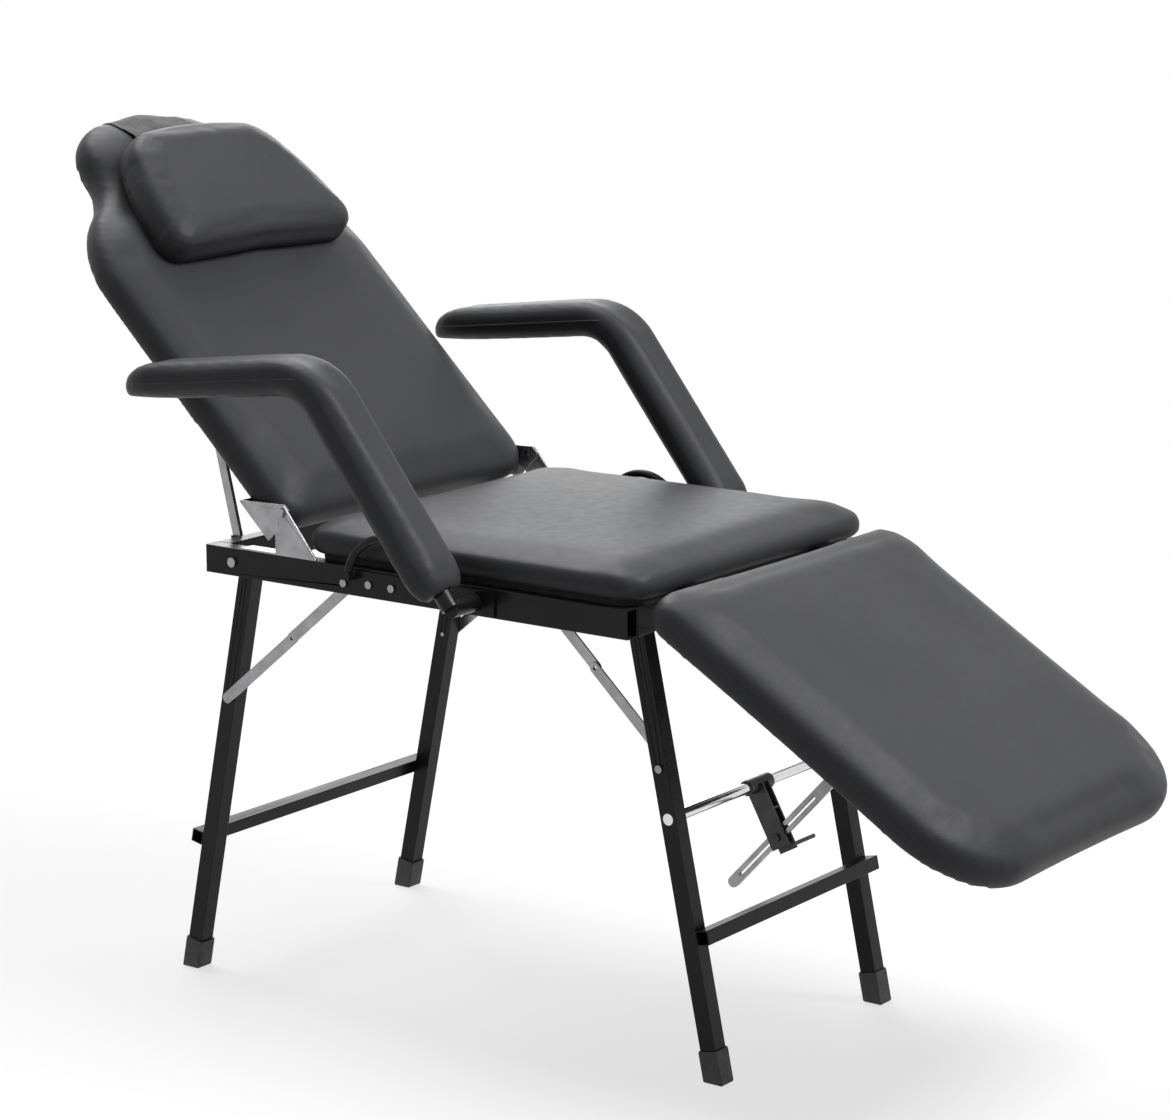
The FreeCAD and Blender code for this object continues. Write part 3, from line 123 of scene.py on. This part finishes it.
world = bpy.data.worlds.new("room")
scene.world = world
world.use_nodes = True
room_nodes = world.node_tree.nodes
room_links = world.node_tree.links
room_light = room_nodes["Background"]
room_light.inputs["Color"].default_value = (1, 1, 1, 1)
room_light.inputs["Strength"].default_value = 0.16
room_white = room_nodes.new("ShaderNodeBackground")
room_white.inputs["Color"].default_value = (1, 1, 1, 1)
room_white.inputs["Strength"].default_value = 1
room_mix = room_nodes.new("ShaderNodeMixShader")
room_links.new(seen_directly(room_nodes, room_links), room_mix.inputs["Fac"])
room_links.new(room_light.outputs["Background"], room_mix.inputs[1])
room_links.new(room_white.outputs["Background"], room_mix.inputs[2])
room_links.new(room_mix.outputs["Shader"], room_nodes["World Output"].inputs["Surface"])
lamp_target = Vector((0, 0, 0.6))
for name, size, power, place in (
    ("overhead_box", 4.0, 480, (1.2, 3.2, 6.0)),
    ("front_box", 1.6, 140, (0.4, -1.7, 3.0)),
    ("rear_box", 2.0, 40, (2.8, 2.6, 2.2)),
):
    lamp_data = bpy.data.lights.new(name, "AREA")
    lamp_data.shape = "SQUARE"
    lamp_data.size = size
    lamp_data.energy = power
    lamp = bpy.data.objects.new(name, lamp_data)
    lamp.location = place
    aim = lamp_target - lamp.location
    lamp.rotation_euler = aim.to_track_quat("-Z", "Y").to_euler()
    scene.collection.objects.link(lamp)

# Seat frame, legs and crossbars: square steel tube, welded and sprayed in gloss black enamel.
# The enamel has a fine orange peel, and it is a little duller where hands and knees rub it.
def noise_group():
    """Group: noise on the surface, spread between a low and a high value."""
    tree = bpy.data.node_groups.new("mottle", "ShaderNodeTree")
    tree.interface.new_socket("Vector", in_out="INPUT", socket_type="NodeSocketVector")
    for name, value in (("Scale", 10), ("Detail", 3), ("Low", 0), ("High", 1)):
        socket = tree.interface.new_socket(name, in_out="INPUT", socket_type="NodeSocketFloat")
        socket.default_value = value
    tree.interface.new_socket("Value", in_out="OUTPUT", socket_type="NodeSocketFloat")
    given = tree.nodes.new("NodeGroupInput")
    noise = tree.nodes.new("ShaderNodeTexNoise")
    spread = tree.nodes.new("ShaderNodeMapRange")
    spread.inputs["From Min"].default_value = 0.3
    spread.inputs["From Max"].default_value = 0.7
    result = tree.nodes.new("NodeGroupOutput")
    for source, target in (("Vector", "Vector"), ("Scale", "Scale"), ("Detail", "Detail")):
        tree.links.new(given.outputs[source], noise.inputs[target])
    tree.links.new(given.outputs["Low"], spread.inputs["To Min"])
    tree.links.new(given.outputs["High"], spread.inputs["To Max"])
    tree.links.new(noise.outputs["Fac"], spread.inputs["Value"])
    tree.links.new(spread.outputs["Result"], result.inputs["Value"])
    return tree


mottle = noise_group()


def finish(name):
    """A new material: its node tree, its shader and Object coordinates."""
    material = bpy.data.materials.new(name)
    material.use_nodes = True
    tree = material.node_tree
    coords = tree.nodes.new("ShaderNodeTexCoord")
    return material, tree, tree.nodes["Principled BSDF"], coords.outputs["Object"]


def mottled(tree, coords, scale, detail, low, high):
    """One use of the noise group with its own values."""
    use = tree.nodes.new("ShaderNodeGroup")
    use.node_tree = mottle
    tree.links.new(coords, use.inputs["Vector"])
    for name, value in (("Scale", scale), ("Detail", detail), ("Low", low), ("High", high)):
        use.inputs[name].default_value = value
    return use.outputs["Value"]


def two_tone(tree, share, first, second):
    """A colour between two, by a share that changes over the surface."""
    mix = tree.nodes.new("ShaderNodeMix")
    mix.data_type = "RGBA"
    dark, light = [socket for socket in mix.inputs if socket.type == "RGBA"]
    dark.default_value = (*first, 1)
    light.default_value = (*second, 1)
    tree.links.new(share, mix.inputs["Factor"])
    return [socket for socket in mix.outputs if socket.type == "RGBA"][0]


def raised(tree, shader, height, strength, distance):
    """Bump from a height that changes over the surface."""
    bump = tree.nodes.new("ShaderNodeBump")
    bump.inputs["Strength"].default_value = strength
    bump.inputs["Distance"].default_value = distance
    tree.links.new(height, bump.inputs["Height"])
    tree.links.new(bump.outputs["Normal"], shader.inputs["Normal"])


def coat_with(material, *names):
    """Gives CAD pieces this material in every slot."""
    for name in names:
        for slot in nodes[name].material_slots:
            slot.material = material


weld_within = 0.00002
sharp_from = 50


def soften_edges(width, *names):
    """Rounds the sharp edges of CAD pieces, as drawn tube and tumbled plate have them."""
    for name in names:
        weld = nodes[name].modifiers.new("weld", "WELD")
        weld.merge_threshold = weld_within
        bevel = nodes[name].modifiers.new("bevel", "BEVEL")
        bevel.width = width
        bevel.segments = 2
        bevel.limit_method = "ANGLE"
        bevel.angle_limit = math.radians(sharp_from)
        bevel.use_clamp_overlap = True


tube_pieces = (
    "left_side_rail", "right_side_rail", "front_cross_rail", "rear_cross_rail",
    "left_front_leg", "right_front_leg", "left_rear_leg", "right_rear_leg",
    "front_crossbar", "rear_crossbar",
)
fittings = (
    "front_leg_lugs", "stay_lugs", "prop_lugs", "left_armrest_tube", "right_armrest_tube",
    "armrest_plates", "armrest_braces", "footrest_fixed_leaves", "footrest_moving_leaves",
    "strut_lug", "rear_pivot_spacers",
)
enamel, tree, shader, coords = finish("black_enamel")
patches = mottled(tree, coords, scale=9, detail=3, low=0, high=1)
enamel_tone = two_tone(tree, patches, (0.005, 0.005, 0.005), (0.009, 0.009, 0.0095))
tree.links.new(enamel_tone, shader.inputs["Base Color"])
gloss = mottled(tree, coords, scale=18, detail=3, low=0.24, high=0.33)
tree.links.new(gloss, shader.inputs["Roughness"])
shader.inputs["Specular IOR Level"].default_value = 0.16
peel = mottled(tree, coords, scale=420, detail=2, low=0, high=1)
raised(tree, shader, peel, strength=0.12, distance=0.0006)
coat_with(enamel, *tube_pieces, *fittings)
tube_edge = 0.0014
soften_edges(tube_edge, *tube_pieces)

# Foot caps: soft black plastic pressed over the end of each leg.
# The moulded skin is matt and slightly pebbled, and greyer where it meets the floor.
cap_plastic, tree, shader, coords = finish("cap_plastic")
place = tree.nodes.new("ShaderNodeSeparateXYZ")
tree.links.new(coords, place.inputs["Vector"])
scuff = tree.nodes.new("ShaderNodeMapRange")
scuff.inputs["From Max"].default_value = 0.02
scuff.inputs["To Min"].default_value = 1
scuff.inputs["To Max"].default_value = 0
tree.links.new(place.outputs["Z"], scuff.inputs["Value"])
cap_tone = two_tone(tree, scuff.outputs["Result"], (0.012, 0.012, 0.012), (0.034, 0.033, 0.032))
tree.links.new(cap_tone, shader.inputs["Base Color"])
gloss = mottled(tree, coords, scale=90, detail=3, low=0.45, high=0.65)
tree.links.new(gloss, shader.inputs["Roughness"])
pebbles = mottled(tree, coords, scale=900, detail=2, low=0, high=1)
raised(tree, shader, pebbles, strength=0.25, distance=0.0004)
coat_with(cap_plastic, "front_foot_caps", "rear_foot_caps")
cap_edge = 0.0022
soften_edges(cap_edge, "front_foot_caps", "rear_foot_caps")

# Hinge plates, stays, strut, back prop and fasteners: pressed steel with bright zinc plating.
# The plating has a fine spangle and clouds a little.
zinc, tree, shader, coords = finish("bright_zinc")
clouds = mottled(tree, coords, scale=38, detail=4, low=0, high=1)
zinc_tone = two_tone(tree, clouds, (0.24, 0.24, 0.245), (0.34, 0.34, 0.35))
tree.links.new(zinc_tone, shader.inputs["Base Color"])
shader.inputs["Metallic"].default_value = 1
gloss = mottled(tree, coords, scale=140, detail=5, low=0.26, high=0.44)
tree.links.new(gloss, shader.inputs["Roughness"])
spangle = mottled(tree, coords, scale=700, detail=2, low=0, high=1)
raised(tree, shader, spangle, strength=0.1, distance=0.0003)
plated_plates = (
    "left_hinge_bracket", "right_hinge_bracket", "left_hinge_arm", "right_hinge_arm",
    "front_stay_upper_links", "front_stay_lower_links", "rear_stay_upper_links", "rear_stay_lower_links",
    "footrest_strut", "left_prop_bar", "right_prop_bar", "prop_racks",
)
plated_pins = (
    "prop_rod", "back_hinge_pins", "prop_pins", "footrest_hinge_pins", "front_pivot_bolts",
    "rear_pivot_bolts", "stay_root_rivets", "front_stay_bolts", "rear_stay_bolts", "armrest_bolts",
    "strut_pin",
)
coat_with(zinc, *plated_plates, *plated_pins)
plate_edge = 0.0005
soften_edges(plate_edge, *plated_plates)

# Lock bar between the front legs: a polished chrome rod.
# Turning marks run round it.
chrome, tree, shader, coords = finish("polished_chrome")
stretch = tree.nodes.new("ShaderNodeMapping")
stretch.inputs["Scale"].default_value = (900, 40, 40)
tree.links.new(coords, stretch.inputs["Vector"])
marks = mottled(tree, stretch.outputs["Vector"], scale=1, detail=3, low=0, high=1)
chrome_tone = two_tone(tree, marks, (0.62, 0.62, 0.64), (0.74, 0.74, 0.76))
tree.links.new(chrome_tone, shader.inputs["Base Color"])
shader.inputs["Metallic"].default_value = 1
gloss = mottled(tree, coords, scale=60, detail=4, low=0.07, high=0.16)
tree.links.new(gloss, shader.inputs["Roughness"])
raised(tree, shader, marks, strength=0.04, distance=0.0002)
coat_with(chrome, "lock_bar")

# Strut lock: a bent steel bracket in satin black on the lock bar, with a dark bolt and a wire lever.
# Its enamel is thinner than the frame's and rubbed greyer in patches.
lock_black, tree, shader, coords = finish("lock_black")
rubs = mottled(tree, coords, scale=70, detail=5, low=0, high=1)
lock_tone = two_tone(tree, rubs, (0.012, 0.012, 0.013), (0.03, 0.03, 0.031))
tree.links.new(lock_tone, shader.inputs["Base Color"])
gloss = mottled(tree, coords, scale=45, detail=3, low=0.34, high=0.5)
tree.links.new(gloss, shader.inputs["Roughness"])
peel = mottled(tree, coords, scale=500, detail=2, low=0, high=1)
raised(tree, shader, peel, strength=0.15, distance=0.0004)
coat_with(lock_black, "lock_bracket", "lock_bolt", "release_lever")

# Boards: plywood under each pad, covered on the back with black woven backing cloth.
# The cloth is a plain weave, pulled tight and stapled.
backing, tree, shader, coords = finish("backing_cloth")
threads = []
for way in ("X", "Y"):
    thread = tree.nodes.new("ShaderNodeTexWave")
    thread.bands_direction = way
    thread.inputs["Scale"].default_value = 260
    thread.inputs["Distortion"].default_value = 0.6
    thread.inputs["Detail"].default_value = 1
    tree.links.new(coords, thread.inputs["Vector"])
    threads.append(thread)
weave = tree.nodes.new("ShaderNodeMath")
weave.operation = "MAXIMUM"
tree.links.new(threads[0].outputs["Fac"], weave.inputs[0])
tree.links.new(threads[1].outputs["Fac"], weave.inputs[1])
backing_tone = two_tone(tree, weave.outputs[0], (0.006, 0.006, 0.006), (0.02, 0.02, 0.021))
tree.links.new(backing_tone, shader.inputs["Base Color"])
gloss = mottled(tree, coords, scale=30, detail=3, low=0.8, high=0.95)
tree.links.new(gloss, shader.inputs["Roughness"])
raised(tree, shader, weave.outputs[0], strength=0.4, distance=0.0004)
coat_with(backing, "seat_board", "backrest_board", "footrest_board")

# Seat, backrest and footrest pads: foam on a board under stretched black vinyl.
# The vinyl has a leather grain and lies smooth, a little fuller in the middle.
def leather_grain_group():
    """Group: tone, gloss and height of the embossed leather grain."""
    tree = bpy.data.node_groups.new("leather_grain", "ShaderNodeTree")
    tree.interface.new_socket("Vector", in_out="INPUT", socket_type="NodeSocketVector")
    for name in ("Tone", "Roughness", "Height"):
        tree.interface.new_socket(name, in_out="OUTPUT", socket_type="NodeSocketFloat")
    given = tree.nodes.new("NodeGroupInput")
    result = tree.nodes.new("NodeGroupOutput")
    cells = tree.nodes.new("ShaderNodeTexVoronoi")
    cells.feature = "SMOOTH_F1"
    cells.inputs["Scale"].default_value = 620
    cells.inputs["Smoothness"].default_value = 0.6
    tree.links.new(given.outputs["Vector"], cells.inputs["Vector"])
    tree.links.new(cells.outputs["Distance"], result.inputs["Height"])
    clouds = mottled(tree, given.outputs["Vector"], scale=5, detail=4, low=0, high=1)
    tree.links.new(clouds, result.inputs["Tone"])
    gloss = mottled(tree, given.outputs["Vector"], scale=55, detail=5, low=0.43, high=0.49)
    tree.links.new(gloss, result.inputs["Roughness"])
    return tree


vinyl, tree, shader, coords = finish("black_vinyl")
grain = tree.nodes.new("ShaderNodeGroup")
grain.node_tree = leather_grain_group()
tree.links.new(coords, grain.inputs["Vector"])
vinyl_tone = two_tone(tree, grain.outputs["Tone"], (0.025, 0.0255, 0.0275), (0.029, 0.0295, 0.032))
tree.links.new(vinyl_tone, shader.inputs["Base Color"])
tree.links.new(grain.outputs["Roughness"], shader.inputs["Roughness"])
shader.inputs["Specular IOR Level"].default_value = 0.11
raised(tree, shader, grain.outputs["Height"], strength=0.22, distance=0.0006)
merge_within = 0.00005
sim_frames = 20
free_over = 0.012


def ironed(mesh, amounts, turns):
    """Evens out an amount at each vertex over its neighbours."""
    ends = numpy.empty(len(mesh.edges) * 2, dtype=int)
    mesh.edges.foreach_get("vertices", ends)
    one, other = ends.reshape(-1, 2).T
    count = len(amounts)
    neighbours = numpy.bincount(ends, minlength=count)
    for turn in range(turns):
        total = numpy.bincount(one, amounts[other], count) + numpy.bincount(other, amounts[one], count)
        amounts = (amounts + total / neighbours) / 2
    return amounts


def upholstered(name, node, voxel, easing, fuller, most, out, level, ironing):
    """A pad from its CAD solid: remeshed, eased, let out and blown up as cloth with its underside held."""
    piece = bpy.data.objects.new(name, nodes[node].data.copy())
    scene.collection.objects.link(piece)
    piece.data.materials.clear()
    bm = bmesh.new()
    bm.from_mesh(piece.data)
    bmesh.ops.remove_doubles(bm, verts=bm.verts, dist=merge_within)
    bm.to_mesh(piece.data)
    bm.free()
    remesh = piece.modifiers.new("remesh", "REMESH")
    remesh.mode = "VOXEL"
    remesh.voxel_size = voxel
    even = piece.modifiers.new("even", "SMOOTH")
    even.factor = 0.5
    even.iterations = easing
    graph = bpy.context.evaluated_depsgraph_get()
    mesh = bpy.data.meshes.new_from_object(piece.evaluated_get(graph))
    piece.modifiers.clear()
    piece.data = mesh
    start = [vertex.co.copy() for vertex in mesh.vertices]
    free = [max(0, min(1, (place.dot(out) - level) / free_over)) for place in start]
    normals = [vertex.normal.copy() for vertex in mesh.vertices]
    for vertex, share, normal in zip(mesh.vertices, free, normals):
        vertex.co = vertex.co + normal * fuller * share
    held = piece.vertex_groups.new(name="held")
    for vertex, share in zip(mesh.vertices, free):
        held.add([vertex.index], 1 - share, "REPLACE")
    cloth = piece.modifiers.new("cloth", "CLOTH")
    cloth.settings.quality = 4
    cloth.settings.mass = 0.35
    cloth.settings.tension_stiffness = 12
    cloth.settings.compression_stiffness = 12
    cloth.settings.shear_stiffness = 4
    cloth.settings.bending_stiffness = 1.2
    cloth.settings.use_pressure = True
    cloth.settings.uniform_pressure_force = 4
    cloth.settings.vertex_group_mass = "held"
    cloth.settings.effector_weights.gravity = 0
    cloth.collision_settings.use_collision = False
    cloth.point_cache.frame_start = 1
    cloth.point_cache.frame_end = sim_frames
    for step in range(1, sim_frames + 1):
        scene.frame_set(step)
    graph = bpy.context.evaluated_depsgraph_get()
    blown = bpy.data.meshes.new_from_object(piece.evaluated_get(graph))
    places = [vertex.co.copy() for vertex in blown.vertices]
    piece.modifiers.clear()
    piece.vertex_groups.clear()
    scene.frame_set(1)
    swell = [
        max(0, min(most, (place - first).dot(normal)))
        for place, first, normal in zip(places, start, normals)
    ]
    swell = ironed(mesh, numpy.array(swell), ironing)
    for vertex, first, normal, amount, share in zip(mesh.vertices, start, normals, swell, free):
        vertex.co = first + normal * float(amount) * share
    for face in mesh.polygons:
        face.use_smooth = True
    return piece


def dressed(piece, material, node, body):
    """Puts a finished pad in place of its CAD solid."""
    piece.data.materials.append(material)
    finer = piece.modifiers.new("finer", "SUBSURF")
    finer.levels = 1
    finer.render_levels = 1
    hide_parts(node)
    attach(piece, body)


def facing(angle):
    """The way that a pad's top faces, turned about X from level."""
    return Vector((0, -math.sin(math.radians(angle)), math.cos(math.radians(angle))))


pad_voxel = 0.0076
pad_easing = 3
pad_fuller = 0.004
pad_most = 0.009
pad_ironing = 14
pad_held = 0.014
seat_level = 0.664
seat_pad = upholstered(
    "seat_upholstery", "seat_cushion",
    pad_voxel, pad_easing, pad_fuller, pad_most, facing(0), seat_level, pad_ironing,
)
dressed(seat_pad, vinyl, "seat_cushion", "seat_frame")
back_lean = 44
back_out = facing(back_lean)
back_along = Vector((0, math.cos(math.radians(back_lean)), math.sin(math.radians(back_lean))))
back_pivot = Vector((0, 0.281163, 0.713))
back_under = 0.047
back_level = back_pivot.dot(back_out) - back_under + pad_held
back_pad = upholstered(
    "backrest_upholstery", "backrest_cushion",
    pad_voxel, pad_easing, pad_fuller, pad_most, back_out, back_level, pad_ironing,
)
dressed(back_pad, vinyl, "backrest_cushion", "backrest")
foot_slope = 31
foot_out = facing(foot_slope)
foot_pivot = Vector((0, -0.322837, 0.652))
foot_under = 0.009
foot_level = foot_pivot.dot(foot_out) - foot_under + pad_held
foot_pad = upholstered(
    "footrest_upholstery", "footrest_cushion",
    pad_voxel, pad_easing, pad_fuller, pad_most, foot_out, foot_level, pad_ironing,
)
dressed(foot_pad, vinyl, "footrest_cushion", "footrest")

# Head pillow: a boxed vinyl cover filled with soft foam, held by one wide elastic strap.
# It is softer than the pads, and its side gathers into creases below its upper corners.
crease_wide = 0.010
crease_deep = 0.003
crease_fading = 0.8


def press_crease(piece, first, last):
    """Presses a soft valley into a pad from one point to another, deepest at the first."""
    way = last - first
    for vertex in piece.data.vertices:
        share = max(0, min(1, (vertex.co - first).dot(way) / way.length_squared))
        away = (vertex.co - first - way * share).length
        if away < crease_wide:
            valley = 0.5 + 0.5 * math.cos(math.pi * away / crease_wide)
            vertex.co = vertex.co - vertex.normal * crease_deep * valley * (1 - crease_fading * share)


def on_back(x, up, outward):
    """A point of the backrest: across, up the backrest from its pivot, and out of its front."""
    return back_pivot + Vector((x, 0, 0)) + back_along * up + back_out * outward


pillow_voxel = 0.0042
pillow_above = 0.0175
pillow_held = 0.004
pillow_level = back_pivot.dot(back_out) + pillow_above + pillow_held
pillow_easing = 1
pillow_fuller = 0.002
pillow_most = 0.005
pillow_ironing = 8
pillow = upholstered(
    "head_pillow", "pillow",
    pillow_voxel, pillow_easing, pillow_fuller, pillow_most, back_out, pillow_level, pillow_ironing,
)
pillow_middle = 0.543
pillow_sag = 0.003
pillow_stretch = 1.09
for vertex in pillow.data.vertices:
    up = (vertex.co - back_pivot).dot(back_along) - pillow_middle
    vertex.co = vertex.co + back_along * (up * (pillow_stretch - 1) - pillow_sag)
seam_out = 0.03
fade_out = 0.072
for side in (-1, 1):
    for across, up, inner_across, inner_up in (
        (0.158, 0.585, 0.150, 0.565),
        (0.146, 0.607, 0.135, 0.590),
        (0.128, 0.625, 0.118, 0.606),
        (0.168, 0.560, 0.158, 0.545),
    ):
        seam_end = on_back(side * across, up, seam_out)
        fade_end = on_back(side * inner_across, inner_up, fade_out)
        press_crease(pillow, seam_end, fade_end)
dressed(pillow, vinyl, "pillow", "head_pillow")

# Armrest pads: foam sleeves over the armrest tubes, covered in the same vinyl.
# A thin welt is sewn into each side of the cover, along its level part.
arm_voxel = 0.0045
arm_level = 0.676
arm_easing = 2
arm_fuller = 0.001
arm_most = 0.004
arm_ironing = 8
arm_outside = 0.4
arm_inside = 0.3
welt_radius = 0.0014
welt_sides = 6
welt_steps = 24
welt_front = 0.165
welt_tip = 0.49
welt_middle = 0.306
welt_height = 0.9085
welt_slope = 0.118


def sew_welt(cover, beside):
    """Adds a thin welt on one side of a cover, from its bend to its tip."""
    places = []
    for step in range(welt_steps + 1):
        run = welt_front + (welt_tip - welt_front) * step / welt_steps
        near = Vector((beside, run, welt_height - welt_slope * (run - welt_middle)))
        found, place, normal, face = cover.closest_point_on_mesh(near)
        places.append(place)
    bm = bmesh.new()
    first = Matrix.Translation(places[0]) @ Matrix.Rotation(math.pi / 2, 4, "X")
    bmesh.ops.create_circle(bm, segments=welt_sides, radius=welt_radius, matrix=first)
    ring = list(bm.edges)
    for last, place in zip(places, places[1:]):
        grown = bmesh.ops.extrude_edge_only(bm, edges=ring)["geom"]
        points = [item for item in grown if isinstance(item, bmesh.types.BMVert)]
        bmesh.ops.translate(bm, vec=place - last, verts=points)
        ring = [edge for edge in bm.edges if edge.verts[0] in points and edge.verts[1] in points]
    bmesh.ops.holes_fill(bm, edges=bm.edges, sides=welt_sides)
    bmesh.ops.recalc_face_normals(bm, faces=bm.faces)
    bm.from_mesh(cover.data)
    bm.to_mesh(cover.data)
    bm.free()
    for face in cover.data.polygons:
        face.use_smooth = True


for side, way in (("left", 1), ("right", -1)):
    node = side + "_armrest_pad"
    cover = upholstered(
        side + "_armrest_cover", node,
        arm_voxel, arm_easing, arm_fuller, arm_most, facing(0), arm_level, arm_ironing,
    )
    bpy.context.view_layer.update()
    for beside in (arm_outside, arm_inside):
        sew_welt(cover, way * beside)
    dressed(cover, vinyl, node, "seat_frame")

# Pillow strap: one wide band of woven elastic, ribbed along its length, sewn to the back of the pillow.
# It goes over the head of the backrest and lies tight on it. Its front end follows the pillow, and the
# elastic between the pillow and the head gives way.
elastic, tree, shader, coords = finish("woven_elastic")
ribs = tree.nodes.new("ShaderNodeTexWave")
ribs.bands_direction = "X"
ribs.inputs["Scale"].default_value = 170
ribs.inputs["Distortion"].default_value = 0.3
tree.links.new(coords, ribs.inputs["Vector"])
elastic_tone = two_tone(tree, ribs.outputs["Fac"], (0.012, 0.012, 0.013), (0.024, 0.024, 0.026))
tree.links.new(elastic_tone, shader.inputs["Base Color"])
gloss = mottled(tree, coords, scale=80, detail=3, low=0.6, high=0.75)
tree.links.new(gloss, shader.inputs["Roughness"])
raised(tree, shader, ribs.outputs["Fac"], strength=0.5, distance=0.0004)
shader.inputs["Specular IOR Level"].default_value = 0.25
strap_wide = 0.15
strap_thick = 0.0014
strap_gap = 0.0014
strap_route = (
    (0.607, 0.018), (0.650, 0.020), (0.690, 0.020), (0.722, 0.014), (0.742, -0.002),
    (0.746, -0.024), (0.738, -0.044), (0.712, -0.0487), (0.670, -0.0487), (0.610, -0.0487),
)
strap_flat_from = -0.046
strap_cuts = 17
bm = bmesh.new()
line = [bm.verts.new(on_back(-strap_wide / 2, up, outward)) for up, outward in strap_route]
edges = [bm.edges.new(pair) for pair in zip(line, line[1:])]
across = bmesh.ops.extrude_edge_only(bm, edges=edges)["geom"]
far_side = [item for item in across if isinstance(item, bmesh.types.BMVert)]
bmesh.ops.translate(bm, vec=(strap_wide, 0, 0), verts=far_side)
rungs = [edge for edge in bm.edges if abs(edge.verts[0].co.x - edge.verts[1].co.x) > strap_wide / 2]
bmesh.ops.subdivide_edges(bm, edges=rungs, cuts=strap_cuts)
bmesh.ops.recalc_face_normals(bm, faces=bm.faces)
strap_mesh = bpy.data.meshes.new("pillow_strap")
bm.to_mesh(strap_mesh)
bm.free()
strap = bpy.data.objects.new("head_strap", strap_mesh)
scene.collection.objects.link(strap)
strap_bend = strap.modifiers.new("bend", "SUBSURF")
strap_bend.levels = 2
strap_bend.render_levels = 2
wrapped = strap.vertex_groups.new(name="wrapped")
for vertex in strap_mesh.vertices:
    if (vertex.co - back_pivot).dot(back_out) > strap_flat_from:
        wrapped.add([vertex.index], 1, "REPLACE")
strap_wrap = strap.modifiers.new("wrap", "SHRINKWRAP")
strap_wrap.target = back_pad
strap_wrap.vertex_group = "wrapped"
strap_wrap.wrap_method = "NEAREST_SURFACEPOINT"
strap_wrap.wrap_mode = "OUTSIDE_SURFACE"
strap_wrap.offset = strap_gap
strap_even = strap.modifiers.new("even", "SMOOTH")
strap_even.factor = 0.5
strap_even.iterations = 4
strap_body = strap.modifiers.new("thick", "SOLIDIFY")
strap_body.thickness = strap_thick
strap_body.offset = 0
graph = bpy.context.evaluated_depsgraph_get()
strap_mesh = bpy.data.meshes.new_from_object(strap.evaluated_get(graph))
strap.modifiers.clear()
strap.vertex_groups.clear()
strap.data = strap_mesh
strap_lift = 0.005
strap_lift_from = 0.7
strap_lift_over = 0.04
for vertex in strap_mesh.vertices:
    place = vertex.co - back_pivot
    share = min(1, max(0, (strap_lift_from - place.dot(back_along)) / strap_lift_over))
    if place.dot(back_out) > 0:
        vertex.co = vertex.co + back_out * strap_lift * share
strap_mesh.materials.append(elastic)
for face in strap_mesh.polygons:
    face.use_smooth = True
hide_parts("pillow_strap")
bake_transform(strap)
